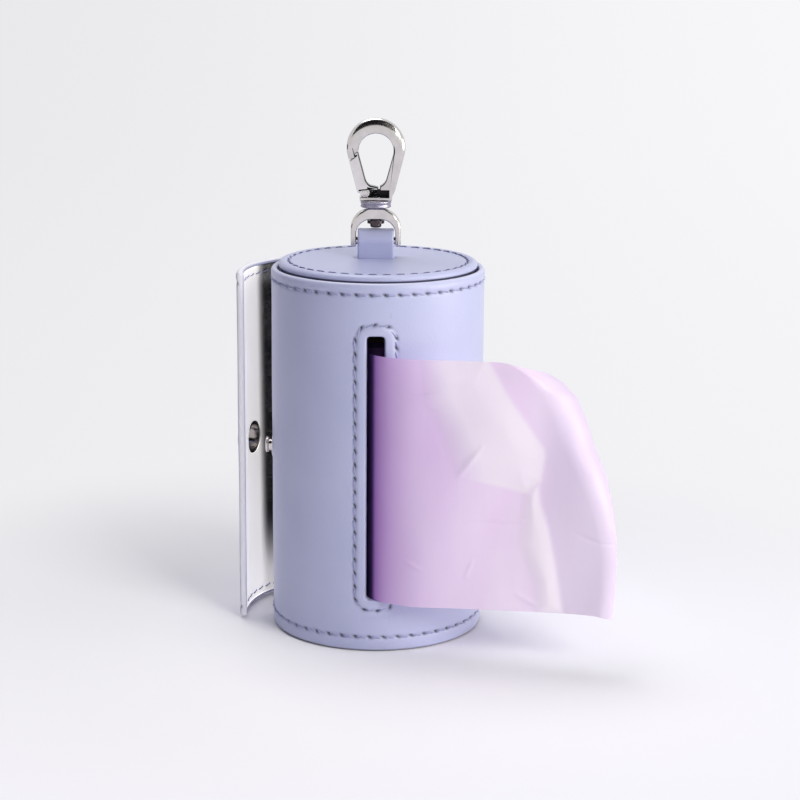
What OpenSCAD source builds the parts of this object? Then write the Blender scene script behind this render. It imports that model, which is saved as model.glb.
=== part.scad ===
// Leather dispenser for a roll of dog waste bags, on a swivel trigger hook.
// Origin: centre of the base, on the surface that it stands on. +Z is up and -Y is the front.
// Angles are azimuths about Z: 0 is +X, 90 is the back, 180 is the left and 270 is the front.

/* [Body] */
// Outer radius of the wall
body_r = 26; // [25:0.5:32]
// Height of the wall, from the base to its rim
body_h = 90; // [88:0.5:110]
// Thickness of the outer leather of the wall
leather_t = 0.7; // [0.5:0.05:1]
// Thickness of the board inside the wall
board_t = 0.5; // [0.3:0.05:1]
// Thickness of the lining of the wall
lining_t = 0.3; // [0.2:0.05:0.6]
// Azimuth of the wall's free edge, where the door opening starts
wall_edge_az = 164; // [155:1:166]

/* [Lid and base] */
// How far the lid stands proud of the rim
lid_proud = 1.5; // [0.5:0.1:3]
// Leather over the lid and under the base
cover_t = 0.9; // [0.5:0.1:1.5]
// Leather turned down round the edge of the lid and the base
skirt_t = 0.6; // [0.4:0.05:1]
// Board inside the lid
lid_board_t = 5; // [3:0.5:8]
// Lining on the inner side of both boards
inner_lining_t = 0.4; // [0.2:0.05:0.8]
// Gap between the lid or the base and the wall
seat_gap = 0.25; // [0.1:0.05:0.5]

/* [Slot] */
// Width of the dispensing slot
slot_w = 4.4; // [4.2:0.1:6]
// Height of the lower end of the slot
slot_low = 13; // [12:0.5:20]
// How much longer the slot is than the film is wide
slot_spare = 4.6; // [4.4:0.1:8]
// Offset of the slot from the middle of the front
slot_x = -0.2; // [-1:0.1:1]
// Radius of the slot's corners
slot_corner = 1; // [0.5:0.1:2]
// Width of the turned lip round the slot
lip_w = 2.7; // [1.5:0.1:4]
// How far the lip stands proud of the wall
lip_proud = 0.35; // [0.2:0.05:0.6]
// Leather that lines the edge of the slot
lip_t = 0.6; // [0.4:0.05:1]

/* [Flap] */
// Azimuth of the flap's hinge line
hinge_az = 85; // [75:1:92]
// Azimuth of the flap's free edge when it is closed
flap_edge_az = 203; // [196:1:206]
// Height of the flap's lower edge
flap_low = 0.4; // [0.4:0.1:2]
// Height of the flap's upper edge below the rim
flap_drop = 1.4; // [1:0.1:4]
// Thickness of the flap's outer leather
flap_leather_t = 0.8; // [0.5:0.05:1]
// Thickness of the board inside the flap
flap_board_t = 0.5; // [0.3:0.05:0.8]
// Thickness of the flap's lining
flap_lining_t = 0.4; // [0.3:0.05:0.6]
// Gap between the closed flap and the wall that it overlaps
flap_gap = 0.35; // [0.3:0.05:0.6]
// How far the flap stands ajar, in degrees from closed
flap_ajar = 15; // [5:0.5:20]
// Width of the leather turned over the flap's edges
flap_turn = 1.4; // [1:0.1:3]
// Radius of the bare leather fold at the hinge
fold_r = 0.8; // [0.6:0.05:1]

/* [Snap] */
// Distance of the snap's centre from the wall's free edge, along the wall
snap_in = 4.54; // [4.2:0.02:6]
// Height of the snap's centre
snap_z = 44.2; // [25:0.5:65]
// Radius of the stud's and the post's flange
flange_r = 3.25; // [2.8:0.05:3.6]
// Radius of the stud's head
stud_r = 2.1; // [1.8:0.05:2.3]
// How far the stud stands out of the wall
stud_h = 2; // [1.5:0.05:2.1]
// Radius of the post through the wall
post_r = 1.15; // [0.8:0.05:1.4]
// Radius of the mouth of the socket
socket_r = 3.3; // [3.2:0.05:3.8]
// Wall of the socket
socket_t = 0.8; // [0.5:0.05:1]
// Radius of the snap's cap
cap_r = 4.5; // [4.3:0.1:6]
// Height of the snap's cap
cap_h = 0.8; // [0.6:0.1:2]

/* [Strap and swivel eye] */
// Width of the leather strap
strap_w = 8.8; // [8.2:0.1:9]
// Thickness of the strap
strap_t = 1.3; // [1:0.05:1.4]
// Radius of the eye's bar
bar_r = 1; // [0.8:0.05:1.1]
// Clearance of the bar in the strap's loop
bar_clear = 0.5; // [0.3:0.05:0.6]
// Height of the bar above the lid
bar_rise = 4.05; // [4:0.05:6]
// Offset of the strap and the hook along X
hang_x = -0.65; // [-2:0.05:2]
// Offset of the strap and the hook along Y
hang_y = 4.2; // [0:0.1:6]
// Width of the eye across its legs
eye_w = 12.3; // [12:0.1:14]
// Thickness of the eye's legs
eye_leg = 1.35; // [1.2:0.05:1.4]
// Thickness of the eye's crown
eye_crown = 2.75; // [2:0.05:3.5]
// Height of the eye's crown above the bar
eye_rise = 8.05; // [7.8:0.05:9]
// Depth of the eye, front to back
eye_depth = 3; // [2.8:0.1:4]

/* [Hook] */
// Height of the hook from the underside of its collar to its crown
hook_h = 21.7; // [21:0.1:25]
// Width of the hook
hook_w = 14.3; // [13.5:0.1:16]
// Depth of the hook, front to back
hook_depth = 3.2; // [3:0.1:4]
// Thickness of the hook's crown
crown_t = 3.7; // [2.5:0.1:4]
// Width of the opening inside the hook
eye_hole_w = 8.5; // [7.5:0.1:9]
// Radius of the collar
collar_r = 3.4; // [3:0.1:4]
// Height of the collar
collar_h = 1.6; // [1:0.1:2]
// Radius of the swivel rivet
rivet_r = 1.4; // [1:0.05:1.6]
// Running clearance of a rivet or a pin in its hole
run_clear = 0.05; // [0.02:0.01:0.1]
// Radius of the gate's pin
pin_r = 0.55; // [0.4:0.05:0.6]
// Gap round the gate
gate_gap = 0.15; // [0.1:0.01:0.25]
// Diameter of the spring's wire
wire_d = 0.25; // [0.2:0.01:0.3]
// Radius of the spring, to the middle of its wire
spring_r = 0.7; // [0.5:0.05:0.75]
// Turns of the spring
spring_turns = 2.6; // [2:0.1:2.6]

/* [Bags] */
// Radius of the roll of bags
roll_r = 14.5; // [10:0.5:15]
// Length of the roll and width of its film
roll_w = 60; // [52:0.5:62]
// Outer radius of the roll's core
core_r = 7; // [5:0.5:8]
// Thickness of the core
core_t = 1; // [0.6:0.1:1.5]
// Thickness of the folded film that hangs out
film_t = 0.3; // [0.2:0.05:0.4]
// How far the film reaches to the right
film_reach = 57; // [40:1:65]
// How far the film's end stands in front of the slot
film_forward = 12.5; // [8:0.5:20]

/* [Hidden] */
$fn = 96;

leather_c = [0.68, 0.69, 0.86];
lining_c = [0.89, 0.87, 0.86];
board_c = [0.55, 0.45, 0.36];
metal_c = [0.8, 0.8, 0.82];
film_c = [0.81, 0.68, 0.88];

// Wall
wall_t = leather_t + board_t + lining_t;
inner_r = body_r - wall_t;
board_r = inner_r + lining_t;
skin_r = board_r + board_t;
wall_mid_r = inner_r + wall_t / 2;
// Clearance between pieces that are glued or riveted together
fit_gap = 0.05;
// Clearance where a thin piece only has to slip over another
slip_gap = 0.02;
// Distance from the hinge line to the panels on both sides of it, and its depth below the wall's surface
hinge_room = 1.25;
hinge_sink = 0.5;
hinge_r = body_r - hinge_sink;
hinge_pos = hinge_r * [cos(hinge_az), sin(hinge_az)];
room_az = hinge_room / hinge_r * 180 / PI;
bead_az = wall_t / 2 / wall_mid_r * 180 / PI;
wall_start = wall_edge_az + bead_az;
snap_az = wall_edge_az + snap_in / body_r * 180 / PI;
wall_end = 360 + hinge_az - room_az - bead_az;

// Lid and base
plug_r = inner_r - seat_gap;
lid_top = body_h + lid_proud;
lid_board_top = lid_top - cover_t;
lid_board_low = lid_board_top - lid_board_t;
// The base is built up to just below the slot, so that the roll stands level with it
base_step = 0.6;
base_top = slot_low - base_step;
base_board_top = base_top - inner_lining_t;
base_board_t = base_board_top - cover_t;

// Flap: its arc is about a line that is shifted to the left, so that it laps over the wall
flap_t = flap_leather_t + flap_board_t + flap_lining_t;
hinge_step = 0.4;
hinge_inner_r = inner_r + hinge_step;
lap_inner_r = body_r + flap_gap;
flap_shift = (lap_inner_r - hinge_inner_r) / (cos(flap_edge_az - 180) - cos(hinge_az - 180));
flap_in_r = hinge_inner_r - flap_shift * cos(hinge_az - 180);
flap_mid_r = flap_in_r + flap_t / 2;
flap_out_r = flap_in_r + flap_t;
flap_bead_az = flap_t / 2 / flap_mid_r * 180 / PI;
flap_top = body_h - flap_drop;
// Azimuths of the flap's two ends about its own centre line
flap_centre = [-flap_shift, 0];
hinge_vec = hinge_pos - flap_centre;
flap_start = atan2(hinge_vec[1], hinge_vec[0]) + room_az + flap_bead_az;
flap_end = flap_edge_az - flap_bead_az + asin(flap_shift / flap_mid_r * sin(flap_edge_az - 180));

// Slot
slot_len = roll_w + slot_spare;

// Snap: distances from the body's axis along the snap's own axis
snap_sink = 0.25;
snap_seat = body_r - snap_sink;
stud_tip = body_r + stud_h;
post_flange_t = 0.5;
flap_in_snap = flap_shift * cos(snap_az - 180) + flap_in_r;
flap_out_snap = flap_in_snap + flap_t;
// The flap swings in at a slant, so its socket sits a little towards the free edge
swing_slant = tan((snap_az - hinge_az) / 2);
socket_shift = (stud_tip - flap_in_snap) * swing_slant / 2;
socket_out_r = socket_r + socket_t;
cap_seat = flap_out_snap + slip_gap;

// Strap, eye and hook: heights of what turns on what
bar_z = lid_top + bar_rise;
loop_in_r = bar_r + bar_clear;
loop_out_r = loop_in_r + strap_t;
eye_top = bar_z + eye_rise;
eye_under = eye_top - eye_crown;
leg_drop = 1.4;
eye_bend = 4.95;
collar_gap = 0.25;
collar_low = eye_top + collar_gap;
hook_low = collar_low + collar_h;
hook_top = collar_low + hook_h;
hook_R = hook_w / 2;
hook_cz = hook_top - hook_R;
hook_base_w = 7.8;
foot_r = 4.95;
foot_z = hook_low + 4.15;
// Angle at which the round foot ends and runs straight to the collar
foot_end = 215;
hole_R = eye_hole_w / 2;
hole_cz = hook_top - crown_t - hole_R;
hole_r = 2.65;
hole_z = hook_low + 6.05;
pin_x = -2.65;
pin_z = hook_low + 2.05;
root_r = 1.3;
tongue_t = 1.1;
pocket_floor = hook_low + 0.95;
toe_low = hook_low + 2.5;
toe_t = 0.9;
toe_x = 0.6;
toe_swing = norm([toe_x - pin_x, toe_low + toe_t - pin_z]);
pocket_x = 3.1;
// Slanted cut between the gate and the hook's nose: heights below the centre of the crown, and its right end
nose_drop = 3.45;
nose_tip_drop = 0.15;
nose_x = -3;
gate_right = -1.2;
gate_knee = hole_cz - hole_R * 0.7;
gate_inset = 0.15;
root_inset = 0.15;
spring_x = -0.35;
spring_low = hook_low + 0.35;
spring_h = toe_low - spring_low - 2 * slip_gap;
coil_pitch = (spring_h - wire_d) / spring_turns;
coil_rings = ceil(spring_turns * 8);
washer_t = 0.75;
washer_r = 2.1;
washer_gap = 0.2;
washer_top = eye_under - washer_gap;
rivet_gap = 0.5;
rivet_end = bar_z + loop_out_r + rivet_gap;

// Bags
roll_gap = 0.3;
roll_low = base_top + roll_gap;
film_low = slot_low + 2 * fit_gap;
film_exit = [slot_x - 0.6, -(body_r - wall_t / 2)];
film_lie_r = roll_r + roll_gap + film_t / 2;
exit_r = norm(film_exit);
exit_az = atan2(film_exit[1], film_exit[0]);
touch_az = exit_az - acos(film_lie_r / exit_r);
film_touch = film_lie_r * [cos(touch_az), sin(touch_az)];

// Points of an arc in a plane, from angle a to angle b
function arc_pts(c, r, a, b, n) = [for (i = [0:n]) let (t = a + (b - a) * i / n) c + r * [cos(t), sin(t)]];
// Cubic curve through four control points
function curve_at(p, t) = pow(1 - t, 3) * p[0] + 3 * pow(1 - t, 2) * t * p[1]
    + 3 * (1 - t) * t * t * p[2] + t * t * t * p[3];

// Solid between outlines that lie at several depths along Y, each a list of [x, z] points
module loft(depths, outlines) {
    n = len(outlines[0]);
    m = len(depths);
    pts = [for (k = [0:m - 1]) for (p = outlines[k]) [p[0], depths[k], p[1]]];
    sides = [for (k = [0:m - 2]) for (i = [0:n - 1]) let (j = (i + 1) % n)
        each [[k * n + i, k * n + j, (k + 1) * n + j], [k * n + i, (k + 1) * n + j, (k + 1) * n + i]]];
    caps = [[for (i = [n - 1:-1:0]) i], [for (i = [0:n - 1]) (m - 1) * n + i]];
    polyhedron(pts, concat(sides, caps), convexity = 4);
}

// Ring segment about Z, from azimuth a to azimuth b, with a profile in [radius, z]
module sweep_arc(a, b) {
    rotate([0, 0, a]) rotate_extrude(angle = b - a, convexity = 4) children();
}

// Upright stadium about local Z, with half-round ends at low and high
module stadium(r, low, high) {
    translate([-r, low + r]) square([2 * r, high - low - 2 * r]);
    for (z = [low + r, high - r]) translate([0, z]) circle(r);
}

// Curved leather panel of thickness t from azimuth a to b, turned over at all four edges:
// full thickness along the turned edges, and one skin thick on the outside between them
module turned_panel(mid_r, t, skin, a, b, low, high, turn) {
    turn_az = turn / mid_r * 180 / PI;
    nose_r = t / 2 - slip_gap;
    difference() {
        union() {
            sweep_arc(a, b) translate([mid_r, 0]) stadium(t / 2, low, high);
            for (end = [a, b]) rotate([0, 0, end]) translate([mid_r, 0, 0]) rotate_extrude() intersection() {
                stadium(nose_r, low + slip_gap, high - slip_gap);
                translate([0, low]) square([t, high - low]);
            }
        }
        sweep_arc(a + turn_az, b - turn_az)
            translate([mid_r - t, low + turn]) square([t * 3 / 2 - skin, high - low - 2 * turn]);
    }
}

// Plain band of the wall between two radii, clear of the turned leather at all its edges
module wall_band(r0, r1, edge) {
    turn = edge / wall_mid_r * 180 / PI;
    sweep_arc(wall_start + turn, wall_end - turn)
        translate([r0, edge]) square([r1 - r0, body_h - 2 * edge]);
}

// Slot outline, grown by g, cut through the front wall
module slot_cut(g) {
    c = slot_corner + g;
    w = slot_w + 2 * g;
    h = slot_len + 2 * g;
    translate([slot_x, 0, slot_low - g]) rotate([90, 0, 0]) linear_extrude(height = body_r + 5) {
        translate([-w / 2 + c, 0]) square([w - 2 * c, h]);
        translate([-w / 2, c]) square([w, h - 2 * c]);
        for (x = [-w / 2 + c, w / 2 - c]) for (y = [c, h - c]) translate([x, y]) circle(c);
    }
}

// Places its children with local Z along the snap's axis, at a distance from the body's axis
module at_snap(out, along = 0) {
    rotate([0, 0, snap_az]) translate([out, along, snap_z]) rotate([0, 90, 0]) children();
}

module snap_holes() {
    at_snap(0) cylinder(r = post_r + fit_gap, h = body_r + 2);
    at_snap(snap_seat) cylinder(r = flange_r + fit_gap, h = 3);
}

module wall_leather() color(leather_c) difference() {
    turned_panel(wall_mid_r, wall_t, leather_t, wall_start, wall_end, 0, body_h, wall_t * 3 / 2);
    slot_cut(lip_t);
    snap_holes();
}

module wall_board() color(board_c) difference() {
    wall_band(board_r, skin_r, wall_t * 3 / 2);
    slot_cut(lip_t);
    snap_holes();
}

module wall_lining() color(lining_c) difference() {
    wall_band(inner_r, board_r, wall_t * 3 / 2);
    slot_cut(lip_t);
    snap_holes();
}

// Part of the slot's surround, g wide, that lies in the shell from radius r to r + t
module slot_ring(g, r, t) intersection() {
    slot_cut(g);
    rotate_extrude() translate([r, 0]) square([t, body_h]);
}

// Leather turned round the edge of the slot: a sleeve through the wall with a raised outer lip
module slot_lip() color(leather_c) difference() {
    union() {
        slot_ring(lip_w, body_r, lip_proud);
        slot_ring(lip_t, inner_r, wall_t);
    }
    slot_cut(0);
}

// Leather over a round board, with its edge rounded and turned along the board
module plug_cover(height) {
    edge = cover_t;
    rotate_extrude() difference() {
        union() {
            square([plug_r - edge, height]);
            square([plug_r, height - edge]);
            translate([plug_r - edge, height - edge]) circle(edge);
        }
        translate([-1, -1]) square([plug_r - skirt_t + 1, height - cover_t + 1]);
    }
}

module lid_cover() color(leather_c) difference() {
    // The strap's plies spread upwards, so the hole is as wide as they are at the lid's top
    half = strap_t + cover_t * (loop_out_r - strap_t) / (bar_z - lid_board_top) + 2 * fit_gap;
    translate([0, 0, lid_board_low]) plug_cover(lid_board_t + cover_t);
    translate([hang_x - strap_w / 2 - fit_gap, hang_y - half, lid_board_top - 0.5])
        cube([strap_w + 2 * fit_gap, 2 * half, cover_t + 1]);
}

module lid_board() color(board_c)
    translate([0, 0, lid_board_low]) cylinder(r = plug_r - skirt_t - slip_gap, h = lid_board_t);

module lid_lining() color(lining_c)
    translate([0, 0, lid_board_low - inner_lining_t]) cylinder(r = plug_r, h = inner_lining_t);

module base_cover() color(leather_c)
    translate([0, 0, base_board_top]) mirror([0, 0, 1]) plug_cover(base_board_top);

module base_board() color(board_c)
    translate([0, 0, cover_t]) cylinder(r = plug_r - skirt_t - slip_gap, h = base_board_t);

module base_lining() color(lining_c)
    translate([0, 0, base_board_top]) cylinder(r = plug_r, h = inner_lining_t);

// Strap folded over the bar: a round loop whose two plies close up towards the lid
module strap_loop() color(leather_c)
    translate([hang_x - strap_w / 2, hang_y, 0]) rotate([90, 0, 90]) linear_extrude(height = strap_w)
        difference() {
            strap_outline(loop_out_r, strap_t, lid_board_top);
            strap_outline(loop_in_r, slip_gap, lid_board_top - 0.01);
        }

// Drop shape: round about the bar, with tangents that close to half-width w at the foot
module strap_outline(r, w, foot) {
    lean = asin((r - w) / (bar_z - foot));
    polygon(concat(arc_pts([0, bar_z], r, -lean, 180 + lean, 32), [[-w, foot], [w, foot]]));
}

// Bare leather that bends between the wall and the flap
module hinge_fold() color(leather_c) {
    low = flap_low + flap_t;
    tall = flap_top - flap_low - 2 * flap_t;
    rotate([0, 0, hinge_az]) translate([hinge_r, 0, low]) {
        cylinder(r = fold_r, h = tall);
        translate([-fold_r * 0.7, slip_gap - hinge_room, 0]) cube([fold_r, hinge_room, tall]);
    }
}

module snap_stud() color(metal_c) at_snap(snap_seat) rotate_extrude() {
    flange_t = 0.4;
    tall = stud_tip - snap_seat;
    head = 0.9;
    square([flange_r - flange_t / 2, flange_t]);
    translate([flange_r - flange_t / 2, flange_t / 2]) circle(flange_t / 2);
    square([stud_r - 0.5, tall - head / 2]);
    translate([0, tall - head]) square([stud_r - head / 2, head]);
    translate([stud_r - head / 2, tall - head / 2]) circle(head / 2);
}

module snap_post() color(metal_c) {
    flange_out = inner_r - snap_sink;
    at_snap(flange_out) cylinder(r = post_r, h = snap_seat - flange_out);
    at_snap(flange_out - post_flange_t) cylinder(r = flange_r, h = post_flange_t);
}

// Turns its children about the hinge line from the closed place to the ajar one
module ajar() {
    translate([hinge_pos[0], hinge_pos[1], 0]) rotate([0, 0, -flap_ajar])
        translate([-hinge_pos[0], -hinge_pos[1], 0]) children();
}

// Band of the closed flap between two radii, clear of the turned leather at all its edges
module flap_band(r0, r1) {
    turn = flap_turn / flap_mid_r * 180 / PI;
    translate([-flap_shift, 0, 0]) sweep_arc(flap_start + turn, flap_end - turn)
        translate([r0, flap_low + flap_turn]) square([r1 - r0, flap_top - flap_low - 2 * flap_turn]);
}

module socket_hole() at_snap(body_r - 3, socket_shift) cylinder(r = socket_out_r + fit_gap, h = 8);

module flap_leather() color(leather_c) ajar() difference() {
    translate([-flap_shift, 0, 0])
        turned_panel(flap_mid_r, flap_t, flap_leather_t, flap_start, flap_end, flap_low, flap_top, flap_turn);
    socket_hole();
}

module flap_board() color(board_c) ajar() difference() {
    flap_band(flap_in_r + flap_lining_t, flap_out_r - flap_leather_t);
    socket_hole();
}

module flap_lining() color(lining_c) ajar() difference() {
    flap_band(flap_in_r, flap_in_r + flap_lining_t);
    socket_hole();
}

module snap_socket() color(metal_c) ajar() at_snap(flap_in_snap + slip_gap, socket_shift) difference() {
    tall = cap_seat - flap_in_snap - slip_gap;
    cylinder(r = socket_out_r, h = tall);
    translate([0, 0, -1]) cylinder(r = socket_r, h = tall + 2);
}

module snap_cap() color(metal_c) ajar() at_snap(cap_seat, socket_shift) rotate_extrude() difference() {
    edge = cap_h / 2;
    union() {
        square([cap_r - edge, cap_h]);
        square([cap_r, edge]);
        translate([cap_r - edge, edge]) circle(edge);
    }
    square([socket_r, 0.3]);
}

// Arch of the swivel eye, grown or shrunk by g all round
function arch_outline(half, top, bend, low, g) = let (r = bend + g, c = half - bend) concat(
    arc_pts([c, top - bend], r, 0, 90, 10), arc_pts([-c, top - bend], r, 90, 180, 10),
    [[-half - g, low], [half + g, low]]);

// Depths and insets that round the edges of a casting
function round_depths(depth) = depth / 2 * [-1, -0.9, -0.68, -0.4, 0.4, 0.68, 0.9, 1];
round_insets = [0.6, 0.3, 0.08, 0, 0, 0.08, 0.3, 0.6];
// How far an inner cut runs past the casting, and how much less its edges are rounded
cut_past = 1.02;
inner_round = 0.6;

module swivel_eye() color(metal_c) translate([hang_x, hang_y, 0]) {
    half = eye_w / 2;
    low = bar_z - leg_drop;
    depths = round_depths(eye_depth);
    difference() {
        loft(depths, [for (g = round_insets) arch_outline(half, eye_top, eye_bend, low, -g)]);
        loft(depths * cut_past, [for (g = round_insets)
            arch_outline(half - eye_leg, eye_under, eye_bend - eye_leg, low - 1, g * inner_round)]);
        translate([0, 0, eye_under - 1]) cylinder(r = rivet_r + run_clear, h = eye_crown + 2);
    }
    translate([-half + eye_leg / 2, 0, bar_z]) rotate([0, 90, 0]) cylinder(r = bar_r, h = eye_w - eye_leg);
}

module swivel_rivet() color(metal_c) translate([hang_x, hang_y, 0]) {
    dome = 0.5;
    translate([0, 0, rivet_end + dome]) cylinder(r = rivet_r, h = collar_low - rivet_end - dome);
    translate([0, 0, rivet_end]) rotate_extrude() {
        square([rivet_r - dome, dome]);
        translate([rivet_r - dome, dome]) intersection() {
            circle(dome);
            translate([0, -dome]) square(dome);
        }
    }
}

module swivel_washer() color(metal_c) translate([hang_x, hang_y, washer_top - washer_t]) difference() {
    cylinder(r = washer_r, h = washer_t);
    translate([0, 0, -1]) cylinder(r = rivet_r + slip_gap, h = washer_t + 2);
}

// Pear outline of two circles on one axis: big one at the top, small one below
function pear_outline(R, cz, r, z, g) = let (lean = asin((R - r) / (cz - z))) concat(
    arc_pts([0, cz], R + g, -lean, 180 + lean, 32),
    arc_pts([0, z], r + g, 180 + lean, 360 - lean, 16));

// Outside of the hook: like the pear, but cut off flat at the collar
function hook_outline(g) = let (lean = asin((hook_R - foot_r) / (hook_cz - foot_z))) concat(
    arc_pts([0, hook_cz], hook_R + g, -lean, 180 + lean, 32),
    arc_pts([0, foot_z], foot_r + g, 180 + lean, foot_end, 5),
    [[-hook_base_w / 2 - g, hook_low], [hook_base_w / 2 + g, hook_low]],
    arc_pts([0, foot_z], foot_r + g, 540 - foot_end, 360 - lean, 5));

module hook_blank(depth) {
    depths = round_depths(depth);
    difference() {
        loft(depths, [for (g = round_insets) hook_outline(-g)]);
        loft(depths * cut_past, [for (g = round_insets)
            pear_outline(hole_R, hole_cz, hole_r, hole_z, g * inner_round)]);
    }
}

// Space that the gate fills, from the slanted nose down to the pocket of the spring, shrunk by g
module gate_space(g) {
    far = -hook_w;
    slant = (nose_drop - nose_tip_drop) / (nose_x + hook_R);
    rotate([90, 0, 0]) translate([0, 0, -hook_depth]) linear_extrude(height = 2 * hook_depth) polygon([
        [far, hook_cz - nose_tip_drop + slant * (far - nose_x) - g], [nose_x, hook_cz - nose_tip_drop - g],
        [gate_right, gate_knee], [gate_right, pocket_floor + g], [far, pocket_floor + g]]);
}

module along_pin(r, half) {
    translate([pin_x, 0, pin_z]) rotate([90, 0, 0]) cylinder(r = r, h = 2 * half, center = true);
}

// Cast body with its collar, the gap for the gate, the pocket below the toe and the tongue for the pin
module hook_body() color(metal_c) translate([hang_x, hang_y, 0]) difference() {
    tongue_r = root_r - root_inset;
    union() {
        difference() {
            hook_blank(hook_depth);
            gate_space(0);
            translate([pin_x, -hook_depth, pocket_floor])
                cube([pocket_x - pin_x, 2 * hook_depth, toe_low - pocket_floor + slip_gap]);
            translate([pin_x, -hook_depth, toe_low])
                cube([toe_swing + gate_gap, 2 * hook_depth, 2 * toe_t]);
            along_pin(root_r + gate_gap, hook_depth);
        }
        along_pin(tongue_r, tongue_t / 2);
        translate([pin_x - tongue_r, -tongue_t / 2, pocket_floor - 0.3])
            cube([2 * tongue_r, tongue_t, pin_z - pocket_floor + 0.3]);
        translate([0, 0, collar_low]) cylinder(r = collar_r, h = collar_h);
    }
    along_pin(pin_r + slip_gap, hook_depth);
    translate([spring_x, 0, spring_low]) cylinder(r = spring_r + wire_d / 2 + 2 * fit_gap, h = 3);
}

// Gate: a bar that closes the hook, a root forked round the tongue, and a toe that presses the spring
module hook_gate() color(metal_c) translate([hang_x, hang_y, 0]) difference() {
    depth = hook_depth - 2 * gate_inset;
    toe_depth = depth - 2 * gate_inset + 0.1;
    union() {
        intersection() {
            hook_blank(depth);
            gate_space(gate_gap);
            translate([-hook_w, -hook_depth, pin_z])
                cube([hook_w + gate_right + slip_gap, 2 * hook_depth, hook_h]);
        }
        along_pin(root_r, toe_depth / 2);
        translate([pin_x, -toe_depth / 2, toe_low]) cube([toe_x - pin_x, toe_depth, toe_t]);
    }
    along_pin(root_r + root_inset, tongue_t / 2 + 2 * fit_gap);
    along_pin(pin_r + run_clear + slip_gap, hook_depth);
}

module gate_pin() color(metal_c) translate([hang_x, hang_y, 0])
    along_pin(pin_r, hook_depth / 2 - 2 * fit_gap);

// Coil spring under the gate's toe: one wire, six-sided, with straight flat-cut ends
function coil_at(i) = let (a = 360 * spring_turns * i / coil_rings)
    [spring_r * cos(a), spring_r * sin(a), wire_d / 2 + coil_pitch * spring_turns * i / coil_rings];
coil_least_gap = min([for (i = [0:coil_rings]) for (j = [0:coil_rings])
    if (abs(i - j) > 4) norm(coil_at(i) - coil_at(j)) - wire_d]);
echo(gate_spring_least_gap = coil_least_gap);

module gate_spring() color(metal_c) translate([hang_x + spring_x, hang_y, spring_low + slip_gap]) {
    sides = 6;
    pts = [for (i = [0:coil_rings]) let (a = 360 * spring_turns * i / coil_rings) for (k = [0:sides - 1])
        let (t = 360 * k / sides) coil_at(i)
        + wire_d / 2 * (cos(t) * [cos(a), sin(a), 0] + sin(t) * [0, 0, 1])];
    skin = [for (i = [0:coil_rings - 1]) for (k = [0:sides - 1]) let (j = (k + 1) % sides, b = i * sides)
        each [[b + k, b + sides + k, b + sides + j], [b + k, b + sides + j, b + j]]];
    ends = [[for (k = [0:sides - 1]) k], [for (k = [sides - 1:-1:0]) coil_rings * sides + k]];
    polyhedron(pts, concat(skin, ends), convexity = 6);
}

module roll_core() color([0.85, 0.8, 0.72]) translate([0, 0, roll_low]) difference() {
    cylinder(r = core_r, h = roll_w);
    translate([0, 0, -1]) cylinder(r = core_r - core_t, h = roll_w + 2);
}

module bag_roll() color(film_c) translate([0, 0, roll_low]) difference() {
    cylinder(r = roll_r, h = roll_w);
    translate([0, 0, -1]) cylinder(r = core_r + slip_gap, h = roll_w + 2);
}

// Film from the roll, through the slot and round to the right, with its upper outer corner cut round
module bag_tail() color(film_c) {
    out = (film_exit - film_touch) / norm(film_exit - film_touch);
    straight = 9;
    tip = [film_reach, film_exit[1] - film_forward];
    middle = [film_reach * 0.45, film_exit[1] - film_forward / 2];
    steps = 24;
    line = concat([film_touch],
        [for (i = [0:steps]) curve_at([film_exit, film_exit + straight * out, middle, tip], i / steps)]);
    last = len(line) - 1;
    side = [for (i = [0:last]) let (d = line[min(i + 1, last)] - line[max(i - 1, 0)])
        [-d[1], d[0]] / norm(d)];
    top = film_low + roll_w;
    // The cut corner starts this far from the tip and ends this far below the top
    corner_w = 21;
    corner_h = 28;
    edge_lean = 3;
    corner = [[film_reach - corner_w, top], [film_reach - corner_w / 2, top],
        [film_reach - edge_lean - 5, top - corner_h / 3], [film_reach - edge_lean, top - corner_h]];
    intersection() {
        translate([0, 0, film_low]) linear_extrude(height = roll_w) polygon(concat(
            [for (i = [0:last]) line[i] + side[i] * film_t / 2],
            [for (i = [last:-1:0]) line[i] - side[i] * film_t / 2]));
        rotate([90, 0, 0]) linear_extrude(height = 2 * film_reach) polygon(concat(
            [[-body_r, 0], [-body_r, top]], [for (i = [0:12]) curve_at(corner, i / 12)],
            [[film_reach, film_low + roll_w / 3], [film_reach - edge_lean / 2, film_low - 1]]));
    }
}

wall_leather();
wall_board();
wall_lining();
slot_lip();
lid_cover();
lid_board();
lid_lining();
base_cover();
base_board();
base_lining();
strap_loop();
hinge_fold();
snap_stud();
snap_post();
flap_leather();
flap_board();
flap_lining();
snap_socket();
snap_cap();
swivel_eye();
swivel_rivet();
swivel_washer();
hook_body();
hook_gate();
gate_pin();
gate_spring();
roll_core();
bag_roll();
bag_tail();
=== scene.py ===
"""Looks of a dog waste bag dispenser: leather case, nickel swivel hook and plastic film.

Sizes are in millimetres in the frame of the CAD model, and meshes are turned into metres
when they are made. Z is up, the slot looks along -Y, and azimuths are counted from +X.
"""

import math
from contextlib import contextmanager

import bmesh
import bpy
import numpy as np
from mathutils import Euler, Matrix, Vector


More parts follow.
